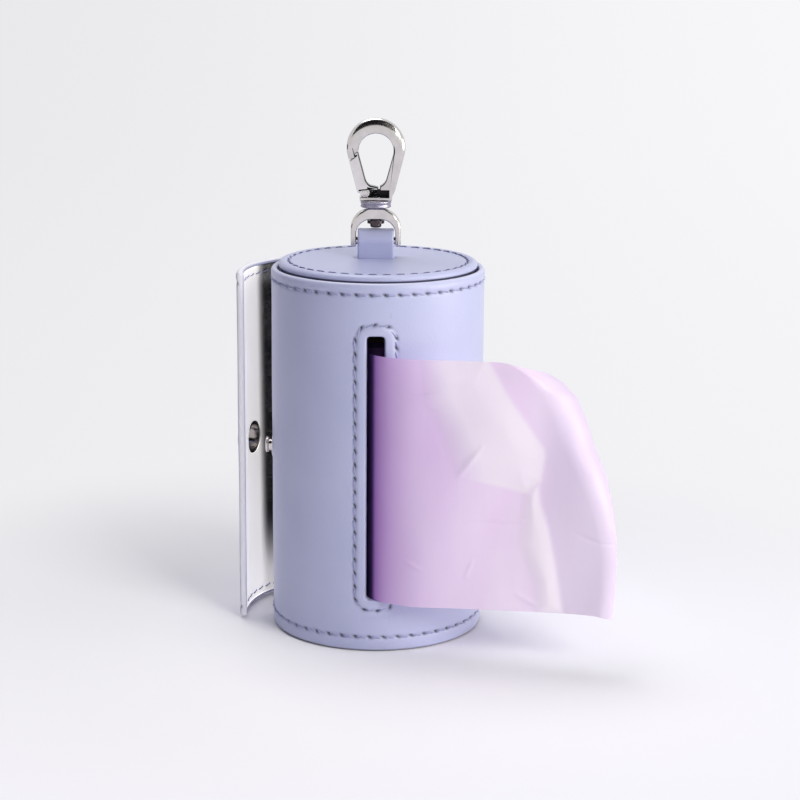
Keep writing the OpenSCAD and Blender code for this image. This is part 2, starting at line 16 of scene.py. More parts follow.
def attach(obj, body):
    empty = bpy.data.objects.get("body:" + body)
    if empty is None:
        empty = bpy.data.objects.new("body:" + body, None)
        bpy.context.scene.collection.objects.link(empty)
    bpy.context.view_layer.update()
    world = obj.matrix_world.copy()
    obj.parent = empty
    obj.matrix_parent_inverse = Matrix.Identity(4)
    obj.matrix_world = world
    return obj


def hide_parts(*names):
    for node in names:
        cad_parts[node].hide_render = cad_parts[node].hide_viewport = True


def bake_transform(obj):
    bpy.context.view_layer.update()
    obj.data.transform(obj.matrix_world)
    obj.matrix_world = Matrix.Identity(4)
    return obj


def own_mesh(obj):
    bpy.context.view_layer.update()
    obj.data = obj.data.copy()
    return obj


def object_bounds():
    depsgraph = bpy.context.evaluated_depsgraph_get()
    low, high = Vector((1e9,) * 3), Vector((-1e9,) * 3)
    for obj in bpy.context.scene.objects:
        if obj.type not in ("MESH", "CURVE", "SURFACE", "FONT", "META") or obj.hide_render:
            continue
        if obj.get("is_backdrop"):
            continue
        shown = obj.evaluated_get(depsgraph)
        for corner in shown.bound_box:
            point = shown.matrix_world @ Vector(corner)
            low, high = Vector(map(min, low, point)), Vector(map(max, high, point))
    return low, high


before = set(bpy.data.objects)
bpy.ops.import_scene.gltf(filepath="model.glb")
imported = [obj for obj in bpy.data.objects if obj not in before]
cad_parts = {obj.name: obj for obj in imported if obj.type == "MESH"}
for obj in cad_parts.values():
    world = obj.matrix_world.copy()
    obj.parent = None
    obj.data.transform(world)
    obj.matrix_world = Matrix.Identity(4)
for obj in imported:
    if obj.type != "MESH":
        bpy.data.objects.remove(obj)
cad_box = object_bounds()

MM = 0.001

# The photograph's camera

PHOTO_PX = 800
SENSOR = 36.0
LENS = 93.70
CAMERA_AT = np.array((5.567, -502.12, 173.56))
CAMERA_TILT = 76.867
CAMERA_ROLL = 0.39

# Case

BODY_R = 26.0
BODY_H = 90.0
WALL_IN = 24.5
SKIN_IN = 25.3
WALL_FROM = 165.702
WALL_TO = 440.49
WALL_TURN = 2.25
LINING_OUT = 24.8

PLUG_R = 24.25
LID_TOP = 91.5
LID_LOW = 85.6
PLUG_LINING = 0.4
BASE_TOP = 12.0

SLOT_X = -0.2
SLOT_LOW = 13.0
SLOT_W = 4.4
SLOT_LEN = 64.6
SLOT_CORNER = 1.0

# Flap, in its closed place, round a centre of its own

FLAP_CENTRE = -1.439
FLAP_IN = 25.025
FLAP_OUT = 26.725
FLAP_FROM = 86.489
FLAP_TO = 202.363
FLAP_LOW = 0.4
FLAP_TOP = 88.6
FLAP_TURN = 0.9
FLAP_LINING = 0.4
FLAP_AJAR = -15.0
HINGE = np.array((2.2225, 25.403))
SNAP_AZ = 174.0
SNAP_Z = 44.2
SNAP_ALONG = 0.76

# Strap, swivel eye and hook, round the axis that they hang on

HANG = np.array((-0.65, 4.2))
BAR_Z = 95.55
BAR_R = 1.0
STRAP_W = 8.8
STRAP_T = 1.3
STRAP_MID_R = 2.15
STRAP_SLACK = 0.28

# Bags

ROLL_R = 14.5
ROLL_CORE_R = 7.02
ROLL_LOW = 12.7
ROLL_W = 60.0
FILM_LOW = 13.1
FILM_TOUCH = np.array((-12.33, -8.46))
FILM_EXIT = np.array((-0.8, -25.25))
FILM_TIP = np.array((57.0, -37.75))

# Thread

PITCH = 3.35
THREAD_R = 0.17
STITCH_IN = 2.7
HOLE_SLANT = math.radians(22)
HOLE_HALF, HOLE_HALF_WIDTH = 0.62, 0.34
THREAD_SLIP = 0.22
THREAD_SUNK = 0.08


# Meshes


def mesh_object(name, points, faces, sharp=40.0, marks=None):
    """Object of points in millimetres, shaded smooth except at edges sharper than that.

    marks are named values on the points, which its material reads.
    """
    mesh = bpy.data.meshes.new(name)
    mesh.from_pydata((np.asarray(points, float) * MM).tolist(), [], faces)
    mesh.shade_smooth()
    mesh.set_sharp_from_angle(angle=math.radians(sharp))
    for mark, values in (marks or {}).items():
        layer = mesh.attributes.new(mark, "FLOAT", "POINT")
        layer.data.foreach_set("value", np.asarray(values, np.float32).ravel())
    mesh.update()
    obj = bpy.data.objects.new(name, mesh)
    bpy.context.scene.collection.objects.link(obj)
    return obj


def grid_faces(rows, cols, close_rows=False, close_cols=False, first=0, keep=None):
    """Quads of a grid of points stored row by row. keep says which cells stay."""
    r = np.arange(rows if close_rows else rows - 1)
    c = np.arange(cols if close_cols else cols - 1)
    r, c = np.meshgrid(r, c, indexing="ij")
    r_next = (r + 1) % rows
    c_next = (c + 1) % cols
    quads = [r * cols + c, r * cols + c_next, r_next * cols + c_next, r_next * cols + c]
    quads = np.stack(quads, -1).reshape(-1, 4) + first
    if keep is not None:
        quads = quads[keep.ravel()]
    return quads.tolist()


@contextmanager
def edited(obj):
    """The object's mesh, open for changes with bmesh."""
    bm = bmesh.new()
    bm.from_mesh(obj.data)
    bm.verts.ensure_lookup_table()
    yield bm
    bm.to_mesh(obj.data)
    bm.free()


def face_outward(obj):
    """Turns all faces of a closed or nearly closed piece outwards."""
    with edited(obj) as bm:
        bmesh.ops.remove_doubles(bm, verts=bm.verts, dist=1e-7)
        bmesh.ops.recalc_face_normals(bm, faces=bm.faces)
    return obj


def tube(name, rings, sharp=60, marks=None):
    """Closed piece of rings of points, with a flat face at both ends."""
    points = np.array(rings)
    rows, cols = points.shape[:2]
    faces = grid_faces(rows, cols, close_cols=True)
    faces += [list(range(cols)), [(rows - 1) * cols + i for i in range(cols)]]
    return face_outward(mesh_object(name, points.reshape(-1, 3), faces, sharp, marks))


def unit(ways):
    """The same directions with a length of 1."""
    return ways / np.linalg.norm(ways, axis=-1, keepdims=True)


def circle(r, z, a):
    """Points round the Z axis, at angles in radians."""
    return np.stack([r * np.cos(a), r * np.sin(a), 0 * a + z], 1)


def full_turn(count):
    return np.linspace(0, 2 * math.pi, count, endpoint=False)


def run_length(path):
    """Length of a path from its start to each of its points."""
    return np.concatenate([[0], np.cumsum(np.linalg.norm(np.diff(path, axis=0), axis=1))])


def path_sides(path):
    """Directions square to a flat path, at its points."""
    way = unit(np.gradient(path, axis=0))
    return np.stack([-way[:, 1], way[:, 0]], 1)


def arc(x, z, r, start, end, count):
    """Points of an arc between two angles in degrees."""
    t = np.radians(np.linspace(start, end, count))
    return np.stack([x + r * np.cos(t), z + r * np.sin(t)], 1)


# Corners of a rectangle: its sign along each side, and the angle at which its arc starts
CORNERS = ((1, 1, 0), (-1, 1, 90), (-1, -1, 180), (1, -1, 270))


def smooth_step(x, low, high):
    """0 up to low and 1 from high, smooth between. Also works with high below low."""
    t = np.clip((x - low) / (high - low), 0, 1)
    return t * t * (3 - 2 * t)


def bell(x, width):
    return np.exp(-((x / width) ** 2))


def spread(low, high, step):
    """Evenly spaced values from low to high, about a step apart."""
    return np.linspace(low, high, max(2, int(round((high - low) / step)) + 1))


def rows_with_fine_bands(low, high, centres, half=1.2, fine=0.16, coarse=2.4):
    """Row heights that are close together near the stitch lines and far apart elsewhere."""
    rows = [low, high]
    for c in centres:
        rows.extend(spread(c - half, c + half, fine))
    rows = np.unique(np.round(rows, 4))
    filled = [rows[0]]
    for z in rows[1:]:
        gap = z - filled[-1]
        filled.extend(np.linspace(filled[-1], z, int(math.ceil(gap / coarse)) + 1)[1:])
    return np.array(filled)


# Stitching


def needle_holes(along, across, start):
    """1 in the middle of each slanted needle hole of a stitch line, and 0 away from them."""
    step = (along - start + PITCH / 2) % PITCH - PITCH / 2
    c, s = math.cos(HOLE_SLANT), math.sin(HOLE_SLANT)
    long_way = step * c - across * s
    short_way = step * s + across * c
    return np.exp(-((long_way / HOLE_HALF) ** 2) - (short_way / HOLE_HALF_WIDTH) ** 2)


def hole_dents(along, across, start):
    """Depth of the needle holes of one stitch line, with a groove along it."""
    return 0.42 * needle_holes(along, across, start) + 0.12 * bell(across, 0.55)


def thread_tubes(starts, ends, start_normals, end_normals):
    """Points and faces of short threads that dip into the leather at both ends."""
    rings, sides = 13, 8
    t = np.linspace(0, 1, rings)[None, :, None]
    normal = unit(start_normals[:, None] * (1 - t) + end_normals[:, None] * t)
    lift = -0.3 + 0.42 * (1 - np.abs(2 * t - 1) ** 5)
    centre = starts[:, None] * (1 - t) + ends[:, None] * t + normal * lift
    tangent = unit(np.gradient(centre, axis=1))
    side = unit(np.cross(normal, tangent))
    up = np.cross(tangent, side)
    angle = full_turn(sides)[None, None, :, None]
    twist = 5.0 * t[..., None]
    radius = THREAD_R * (1 + 0.16 * np.cos(2 * (angle - twist)))
    ring = side[:, :, None] * np.cos(angle) + up[:, :, None] * np.sin(angle) * 0.85
    points = centre[:, :, None] + radius * ring
    faces = []
    for i in range(len(starts)):
        faces += grid_faces(rings, sides, close_cols=True, first=i * rings * sides)
    return points.reshape(-1, 3), faces


def threads(name, holes, normals, across, closed=False):
    """One thread from hole to hole. Each stitch starts on one side of the line and ends on the other."""
    count = len(holes) if closed else len(holes) - 1
    here = np.arange(count)
    there = (here + 1) % len(holes)
    way = unit(holes[there] - holes[here])
    starts = holes[here] + way * 0.25 + across[here] * THREAD_SLIP
    ends = holes[there] - way * 0.75 - across[there] * THREAD_SLIP
    points, faces = thread_tubes(starts, ends, normals[here], normals[there])
    return face_outward(mesh_object(name, points, faces, sharp=80))


# Curved panels: wall, flap and their linings


class Panel:
    """A plate bent round an upright axis, with round edges all round."""

    def __init__(self, centre, r_in, r_out, start, end, low, high, corner=1.5):
        self.centre = centre
        self.mid = (r_in + r_out) / 2
        self.half = (r_out - r_in) / 2
        self.start = start
        self.end = end
        self.low = low
        self.high = high
        self.corner = corner

    def columns(self, step=0.27):
        """Azimuths and thickness shares of the columns, with the two round noses."""
        az_step = math.degrees(step / self.mid)
        az = spread(self.start, self.end, az_step)
        t = np.radians((20, 40, 58, 72, 82))
        nose = np.degrees(self.half * np.sin(t) / self.mid)
        az = np.concatenate([self.start - nose[::-1], az, self.end + nose])
        share = np.concatenate([np.cos(t)[::-1], np.ones(len(az) - 2 * len(t)), np.cos(t)])
        return az, share

    def edge_distance(self, az):
        """Distance along the plate from the nearer upright edge."""
        nose = np.degrees(self.half / self.mid)
        nearer = np.minimum(az - self.start + nose, self.end + nose - az)
        return np.radians(nearer) * self.mid

    def corner_drop(self, az):
        """How far the round corners pull the top and bottom edges in, at an azimuth."""
        short = np.clip(self.corner - self.edge_distance(az), 0, self.corner)
        return self.corner - np.sqrt(np.maximum(self.corner**2 - short**2, 0))

    def place(self, az, r, z):
        a = np.radians(az)
        return np.stack([self.centre + r * np.cos(a), r * np.sin(a), z + 0 * a], -1)


def panel_section(panel, outer, inner, turn, step):
    """Closed section: (share of half thickness, height, centre of its bead, step to the board)."""
    bead = np.radians(np.linspace(0, 180, 9)[1:-1])
    top = panel.high - panel.half
    low = panel.low + panel.half
    rows = [(1.0, z, z, 0.0) for z in outer]
    rows += [(math.cos(t), top + panel.half * math.sin(t), top, 0.0) for t in bead]
    rows += [(-1.0, z, z, 0.0) for z in (top, panel.high - turn)]
    rows += [(-1.0, z, z, step) for z in inner[::-1]]
    rows += [(-1.0, z, z, 0.0) for z in (panel.low + turn, low)]
    rows += [(-math.cos(t), low - panel.half * math.sin(t), low, 0.0) for t in bead]
    return np.array(rows)


def panel_points(panel, section, az, share, relief, outer_count, turn):
    """Points of a panel, by section row and column. relief lowers the outer face."""
    edge = panel.edge_distance(az)
    inside = (edge > turn).astype(float)
    drop = panel.corner_drop(az)
    side, height, bead, step = (section[:, i][:, None] for i in range(4))
    r = panel.mid + side * panel.half * share + step * inside
    z = bead + (height - bead) * share
    reach = 8.0
    z = z - drop * np.clip((z - panel.high + reach) / reach, 0, 1)
    z = z + drop * np.clip((panel.low + reach - z) / reach, 0, 1)
    s = np.radians(az - panel.start) * panel.mid
    r[:outer_count] -= relief(s[None, :], section[:outer_count, 1][:, None]) * share
    return panel.place(az[None, :] + 0 * r, r, z)


def finish_skin(obj, rows, cols, bridge=None):
    """Closes a panel's two narrow ends, and its slot where bridge says so, and shades it again."""
    with edited(obj) as bm:
        for c in (0, cols - 1):
            loop = [bm.verts[r * cols + c] for r in range(rows)]
            bm.faces.new(loop if c == 0 else loop[::-1])
        if bridge is not None:
            bridge_rim(bm, *bridge)
        loose = [v for v in bm.verts if not v.link_faces]
        bmesh.ops.delete(bm, geom=loose, context="VERTS")
        bmesh.ops.recalc_face_normals(bm, faces=bm.faces)
    obj.data.shade_smooth()
    obj.data.set_sharp_from_angle(angle=math.radians(50))
    return obj


def waviness(s, z):
    """Slow unevenness of leather stretched over board."""
    return 0.035 * (np.sin(s * 0.21 + z * 0.05) + np.sin(z * 0.17 - s * 0.09 + 1.3) - 0.4)


# Wall with its slot

WALL = Panel(0.0, WALL_IN, BODY_R, WALL_FROM, WALL_TO, 0.0, BODY_H)
WALL_LENGTH = math.radians(WALL_TO - WALL_FROM) * WALL.mid
WALL_LINES = (BODY_H - STITCH_IN, 3.6)
WALL_STITCH_START = 1.0
WALL_EDGE_ROW = (7.0, 85.5)
SLOT_STITCH_START = 0.6
SLOT_RIM = 5.6
SLOT_ROOM = 0.7


def edge_puff(distance):
    """Leather swells a little between a stitch line and the edge beside it."""
    return 0.1 * bell(distance - 1.35, 0.9)


def panel_marks(panel, section, az, share, outer_count, lines, start):
    """Marks on a panel's points: painted shade in its needle holes, and its round edges, which get wear
    and painted highlight.
    """
    s = np.radians(az - panel.start) * panel.mid
    painted_shade = np.zeros((len(section), len(az)))
    z = section[:outer_count, 1][:, None]
    painted_shade[:outer_count] = sum(needle_holes(s[None, :], z - line, start) for line in lines)
    round_share = np.abs(section[:, 0])[:, None] * share[None, :]
    wear_and_edge_highlight = smooth_step(1 - round_share, 0.03, 0.3)
    return painted_shade, wear_and_edge_highlight


def lined_relief(s, z, panel, lines, start):
    """Needle holes of level stitch lines, and the puffed edges of a panel."""
    deep = sum(hole_dents(s, z - line, start) for line in lines)
    return deep - edge_puff(panel.high - z) - edge_puff(z - panel.low)


def wall_relief(s, z):
    return waviness(s, z) + lined_relief(s, z, WALL, WALL_LINES, WALL_STITCH_START)


def slot_distance(x, z):
    """Distance outside the slot's edge, in the front view."""
    dx = np.abs(x - SLOT_X) - (SLOT_W / 2 - SLOT_CORNER)
    dz = np.abs(z - SLOT_LOW - SLOT_LEN / 2) - (SLOT_LEN / 2 - SLOT_CORNER)
    outside = np.hypot(np.maximum(dx, 0), np.maximum(dz, 0))
    return outside + np.minimum(np.maximum(dx, dz), 0) - SLOT_CORNER


def rounded_slot(grow, count):
    """Points round the slot's outline, grown, evenly spaced, with outward directions."""
    half = np.array((SLOT_W / 2, SLOT_LEN / 2)) - SLOT_CORNER
    middle = np.array((SLOT_X, SLOT_LOW + SLOT_LEN / 2))
    way = [arc(0, 0, 1, a, a + 90, 40) for _, _, a in CORNERS]
    path = [half * (sx, sz) + (SLOT_CORNER + STITCH_IN) * out for (sx, sz, _), out in zip(CORNERS, way)]
    path = np.concatenate(path + [path[0][:1]])
    way = np.concatenate(way + [way[0][:1]])
    length = run_length(path)
    at = np.linspace(0, length[-1], count, endpoint=False)
    out = unit(np.stack([np.interp(at, length, way[:, i]) for i in (0, 1)], 1))
    line = np.stack([np.interp(at, length, path[:, i]) for i in (0, 1)], 1)
    return middle + line + out * (grow - STITCH_IN), out, at


def on_wall(xz, height):
    """Points of the front view put on the wall, that far outside its radius."""
    r = BODY_R + height
    x = xz[..., 0]
    return np.stack([x * r / BODY_R, -r * np.sqrt(1 - (x / BODY_R) ** 2), xz[..., 1]], -1)


def slot_surround(count=620):
    """Rings of points from the slot's inner edge, over its puffed lip, to the plain wall."""
    steps = ((0.05, 0.45, 5), (0.7, 2.1, 6), (2.25, 4.0, 14), (4.4, SLOT_RIM - 0.6, 3))
    across = np.concatenate([np.linspace(*step) for step in steps])
    inside = ((0.9, -1.75), (0.0, -1.75), (0.0, -1.0), (0.0, -0.35))
    rings = [on_wall(rounded_slot(grow, count)[0], low) for grow, low in inside]
    painted_shade = [np.zeros(count)] * len(rings)
    for t in across:
        xz, _, along = rounded_slot(t, count)
        rise = 0.42 * math.sqrt(1 - max(0.0, 1 - t / 0.5) ** 2)
        rise *= 1 - float(smooth_step(t, 1.3, 3.4))
        from_line = np.full(count, t - STITCH_IN)
        dent = hole_dents(along, from_line, SLOT_STITCH_START)
        fade = 1 - float(smooth_step(t, 4.0, 4.8))
        rings.append(on_wall(xz, rise - dent * fade))
        # Painted shade in the needle holes round the slot.
        painted_shade.append(needle_holes(along, from_line, SLOT_STITCH_START))
    return np.array(rings), np.array(painted_shade)


def wall_leather():
    """Outer leather, turned over the edges, with the slot's lip bridged into it."""
    outer = rows_with_fine_bands(WALL.half, BODY_H - WALL.half, WALL_LINES)
    top_of_slot = SLOT_LOW + SLOT_LEN
    rim = (SLOT_LOW - SLOT_RIM + SLOT_CORNER, top_of_slot + SLOT_RIM - SLOT_CORNER)
    outer = np.unique(np.round(np.concatenate([outer, spread(*rim, 1.6)]), 3))
    gap = (SLOT_LOW - SLOT_ROOM, top_of_slot + SLOT_ROOM)
    inner = np.concatenate([[WALL_TURN], [8.0], spread(*gap, 3.0), [BODY_H - WALL_TURN]])
    section = panel_section(WALL, outer, inner, WALL_TURN, SKIN_IN - WALL_IN)
    az, share = WALL.columns()
    points = panel_points(WALL, section, az, share, wall_relief, len(outer), WALL_TURN)
    rows, cols = points.shape[:2]
    keep, tall, wide = room_for_slot(section, az, rim, gap)
    faces = grid_faces(rows, cols, close_rows=True, keep=keep)
    surround, slot_hole_shade = slot_surround()
    rings, count = surround.shape[:2]
    first = rows * cols
    faces += grid_faces(rings, count, close_cols=True, first=first)
    points = np.concatenate([points.reshape(-1, 3), surround.reshape(-1, 3)])
    painted_shade, wear_and_edge_highlight = panel_marks(WALL, section, az, share, len(outer), WALL_LINES, WALL_STITCH_START)
    # Painted contact shadow: the wall's lowest rows, next to the floor, darkened like the needle holes.
    foot = 0.8 * (1 - smooth_step(section[:, 1], 0.1, 0.75))[:, None]
    painted_shade = np.maximum(painted_shade, foot)
    marks = {"painted_shade": np.concatenate([painted_shade.ravel(), slot_hole_shade.ravel()]),
             "wear_and_edge_highlight": np.concatenate([wear_and_edge_highlight.ravel(), 0 * slot_hole_shade.ravel()])}
    obj = mesh_object("wall_skin", points, faces, marks=marks)
    return finish_skin(obj, rows, cols, (tall, wide, cols, first + (rings - 1) * count, count))


def room_for_slot(section, az, rim, gap):
    """Cells of the wall to keep, and the rows and columns left out of its outer face for the slot."""
    x = BODY_R * np.cos(np.radians(az))
    front = np.abs(((az - 270 + 180) % 360) - 180) < 40
    aside = np.abs((x[1:] + x[:-1]) / 2 - SLOT_X) - SLOT_W / 2
    in_front = front[1:] & front[:-1]
    wide = in_front & (aside < SLOT_RIM - 1)
    narrow = in_front & (aside < SLOT_ROOM)
    z_mid = (section[:, 1] + np.roll(section[:, 1], -1)) / 2
    face_side = section[:, 0] + np.roll(section[:, 0], -1)
    tall_out = (face_side > 1.9) & (z_mid > rim[0]) & (z_mid < rim[1])
    tall_in = (face_side < -1.9) & (z_mid > gap[0]) & (z_mid < gap[1])
    keep = ~(tall_out[:, None] & wide[None, :]) & ~(tall_in[:, None] & narrow[None, :])
    return keep, tall_out, wide


def bridge_rim(bm, tall, wide, cols, last_ring, count):
    """Joins the slot's surround to the hole left for it in the wall."""
    r0, r1 = np.flatnonzero(tall)[0], np.flatnonzero(tall)[-1] + 1
    c0, c1 = np.flatnonzero(wide)[0], np.flatnonzero(wide)[-1] + 1
    square = [(r0, c) for c in range(c0, c1)] + [(r, c1) for r in range(r0, r1)]
    square += [(r1, c) for c in range(c1, c0, -1)] + [(r, c0) for r in range(r1, r0, -1)]
    loops = [[bm.verts[r * cols + c] for r, c in square]]
    loops.append([bm.verts[last_ring + i] for i in range(count)])
    edges = []
    for loop in loops:
        for a, b in zip(loop, loop[1:] + loop[:1]):
            edges.append(bm.edges.get((a, b)) or bm.edges.new((a, b)))
    bmesh.ops.bridge_loops(bm, edges=edges)


def ring_stitches(name, z, up):
    """Threads round the lid (up 1) or the base (up -1)."""
    out = circle(1.0, 0.0, full_turn(LID_STITCHES))
    normals = np.tile(np.array((0, 0, up)), (LID_STITCHES, 1))
    return threads(name, out * LID_STITCH_R + np.array((0, 0, z)), normals, out, closed=True)


def panel_stitches(name, panel, s, z, side=1, turn=False):
    """Threads on a panel's outer (side 1) or inner (side -1) face, from hole to hole.

    s is how far along the panel the holes lie, and z how high. One of them is a single number.
    """
    upright = np.ndim(s) == 0
    s, z = np.broadcast_arrays(s, z)
    az = panel.start + np.degrees(s / panel.mid)
    holes = panel.place(az, panel.mid + side * panel.half, z)
    normals = panel.place(az, 1.0, 0.0 * z) - np.array((panel.centre, 0, 0))
    up = np.array((0.0, 0.0, 1.0))
    across = np.cross(normals, up) if upright else np.tile(up, (len(s), 1))
    piece = (holes, normals * side, across)
    if turn:
        piece = [turn_about_hinge(p, i == 0) for i, p in enumerate(piece)]
    return threads(name, *piece)


def slot_stitches():
    xz, out, at = rounded_slot(STITCH_IN, 2000)
    count = int(round(at[-1] / PITCH))
    pick = np.searchsorted(at, SLOT_STITCH_START + np.arange(count) * PITCH)
    holes = on_wall(xz[pick], 0.05)
    normals = holes * np.array((1, 1, 0)) / BODY_R
    across = np.stack([out[pick, 0], 0 * pick, out[pick, 1]], 1)
    return threads("slot_thread", holes, normals, across, closed=True)


def turn_about_hinge(points, is_place=True):
    """Turns closed-flap points, or directions, to the ajar place."""
    a = math.radians(FLAP_AJAR)
    turn = np.array(((math.cos(a), -math.sin(a)), (math.sin(a), math.cos(a))))
    out = np.array(points, float)
    pivot = HINGE if is_place else np.zeros(2)
    out[..., :2] = (out[..., :2] - pivot) @ turn.T + pivot
    return out


# Flap

FLAP = Panel(FLAP_CENTRE, FLAP_IN, FLAP_OUT, FLAP_FROM, FLAP_TO, FLAP_LOW, FLAP_TOP, corner=0.6)
FLAP_LENGTH = math.radians(FLAP_TO - FLAP_FROM) * FLAP.mid
FLAP_LINES = (FLAP_TOP - STITCH_IN, FLAP_LOW + STITCH_IN)
FLAP_STITCH_START = 2.0
SOCKET_OUT = 4.1


def socket_axis():
    """A point on the closed flap's snap axis, and the axis's direction."""
    a = math.radians(SNAP_AZ)
    out = np.array((math.cos(a), math.sin(a), 0.0))
    along = np.array((-out[1], out[0], 0.0))
    return out * (FLAP_IN + FLAP_CENTRE * out[0]) + SNAP_ALONG * along + np.array((0, 0, SNAP_Z)), out


def from_axis(points, at, out):
    """Part of the points' places that is square to an axis."""
    away = points - at
    return away - (away @ out)[..., None] * out


def corners_of(cells):
    """Which points of a grid, closed over its rows, are corners of the given cells."""
    points = np.zeros((cells.shape[0], cells.shape[1] + 1), bool)
    for rows_on in (0, 1):
        for cols_on in (0, 1):
            points[:, cols_on:cols_on + cells.shape[1]] |= np.roll(cells, rows_on, 0)
    return points


def round_hole(points, keep, radius, at, out):
    """Cuts a round hole in a grid: drops the cells inside it and draws its rim to the circle."""
    square = from_axis(points, at, out)
    near = np.linalg.norm(square, axis=-1)
    pair = near + np.roll(near, -1, 0)
    gone = (pair[:, :-1] + pair[:, 1:]) / 4 < radius
    keep &= ~gone
    edge = corners_of(gone) & corners_of(~gone)
    factor = np.where(edge, radius / np.maximum(near, 1e-6), 1.0)[..., None]
    return points + square * (factor - 1)


def flap_relief(s, z):
    return waviness(s + 40, z + 17) + lined_relief(s, z, FLAP, FLAP_LINES, FLAP_STITCH_START)


def flap_leather():
    """Outer leather of the flap, turned over its edges, with a round hole for the snap."""
    outer = rows_with_fine_bands(FLAP_LOW + FLAP.half, FLAP_TOP - FLAP.half, FLAP_LINES)
    beside_snap = spread(SNAP_Z - 4.6, SNAP_Z + 4.6, 0.25)
    outer = np.unique(np.round(np.concatenate([outer, beside_snap]), 3))
    inner = np.concatenate([spread(FLAP_LOW + FLAP_TURN, SNAP_Z - 5, 3.0), beside_snap,
                            spread(SNAP_Z + 5, FLAP_TOP - FLAP_TURN, 3.0)])
    section = panel_section(FLAP, outer, inner, FLAP_TURN, FLAP_LINING)
    az, share = FLAP.columns()
    points = panel_points(FLAP, section, az, share, flap_relief, len(outer), FLAP_TURN)
    rows, cols = points.shape[:2]
    keep = np.ones((rows, cols - 1), bool)
    points = round_hole(points, keep, SOCKET_OUT, *socket_axis())
    faces = grid_faces(rows, cols, close_rows=True, keep=keep)
    painted_shade, wear_and_edge_highlight = panel_marks(FLAP, section, az, share, len(outer), FLAP_LINES, FLAP_STITCH_START)
    marks = {"painted_shade": painted_shade, "wear_and_edge_highlight": wear_and_edge_highlight}
    obj = mesh_object("flap_skin", turn_about_hinge(points.reshape(-1, 3)), faces, marks=marks)
    return finish_skin(obj, rows, cols)


# Linings


def lining_relief(s, z):
    return 0.02 * np.sin(s * 0.6 + 1.1 * np.sin(z * 0.3)) + 0.02 * np.sin(z * 0.37)


def depth_in_gap(panel, az, z):
    """How deep in the gap behind the ajar flap a place lies, which sets the lining's painted shade: 0 at
    the free end, and 1 far in.
    """
    from_end = np.radians(panel.end - az)[None, :] * panel.mid
    low_part = 1.5 * (1 - z / BODY_H)[:, None]
    above_floor = 0.2 + 0.8 * smooth_step(z, 4.0, 24.0)[:, None]
    return smooth_step(from_end, 13.5 + low_part, 18.0 + low_part) * above_floor


def lining_sheet(name, panel, hole=None, socket=None):
    """Thin inner lining with round edges.

    hole(places) is true where the sheet is cut out, and socket is the radius of the snap's hole in
    the flap's lining, which is then turned to its ajar place.
    """
    bands = [panel.low + 1.2, panel.high - 1.2]
    if socket is not None:
        bands += [SNAP_Z + away for away in (-3.2, -1.2, 1.2, 3.2)]
    outer = rows_with_fine_bands(panel.low + panel.half, panel.high - panel.half, bands, coarse=1.5)
    inner = outer if socket is not None else outer[::3]
    section = panel_section(panel, outer, inner, panel.half * 1.01, 0.0)
    az, share = panel.columns(step=0.3 if socket is not None else 0.5)
    points = panel_points(panel, section, az, share, lining_relief, len(outer), 0.0)
    rows, cols = points.shape[:2]
    keep = np.ones((rows, cols - 1), bool)
    if hole is not None:
        keep = ~hole((points + np.roll(points, -1, 0))[:, :-1] / 2)
    if socket is not None:
        points = turn_about_hinge(round_hole(points, keep, socket, *socket_axis()))
    faces = grid_faces(rows, cols, close_rows=True, keep=keep)
    # deep sets where the flap's lining paint puts its painted shade and glow in the gap.
    marks = {"deep": depth_in_gap(panel, az, section[:, 1])}
    return mesh_object(name, points.reshape(-1, 3), faces, marks=marks)


def wall_lining():
    inset = WALL_TURN + 0.15
    trim = math.degrees(inset / WALL.mid)
    panel = Panel(0.0, WALL_IN + 0.02, LINING_OUT, WALL_FROM + trim, WALL_TO - trim,
                  inset, BODY_H - inset, corner=1.0)
    snap = WALL_IN * np.array((math.cos(math.radians(SNAP_AZ)), math.sin(math.radians(SNAP_AZ))))

    def hole(p):
        in_slot = (slot_distance(p[..., 0], p[..., 2]) < 0.6) & (p[..., 1] < 0)
        from_snap = np.linalg.norm(p - np.append(snap, SNAP_Z), axis=-1)
        return in_slot | (from_snap < 1.0)

    return lining_sheet("wall_lining_sheet", panel, hole)


def flap_lining():
    gap = FLAP_TURN + 0.1
    start = FLAP_FROM + math.degrees(gap / FLAP.mid)
    end = FLAP_TO - math.degrees((gap - FLAP.half) / FLAP.mid)
    panel = Panel(FLAP_CENTRE, FLAP_IN, FLAP_IN + FLAP_LINING - 0.02, start, end,
                  FLAP_LOW + gap, FLAP_TOP - gap, corner=0.5)
    return lining_sheet("flap_lining_sheet", panel, socket=SOCKET_OUT + 0.05)


# Lid and base

LID_STITCH_R = 21.87
LID_STITCHES = int(round(2 * math.pi * LID_STITCH_R / PITCH))
LID_PUFF_R = 22.9


def strap_press(x, y):
    """The lid's leather is drawn in round the strap."""
    dx = np.abs(x - HANG[0]) - STRAP_W / 2
    dy = np.abs(y - HANG[1]) - STRAP_T
    away = np.hypot(np.maximum(dx, 0), np.maximum(dy, 0))
    return 0.4 * bell(away, 0.45) + 0.1 * bell(away, 2.0)


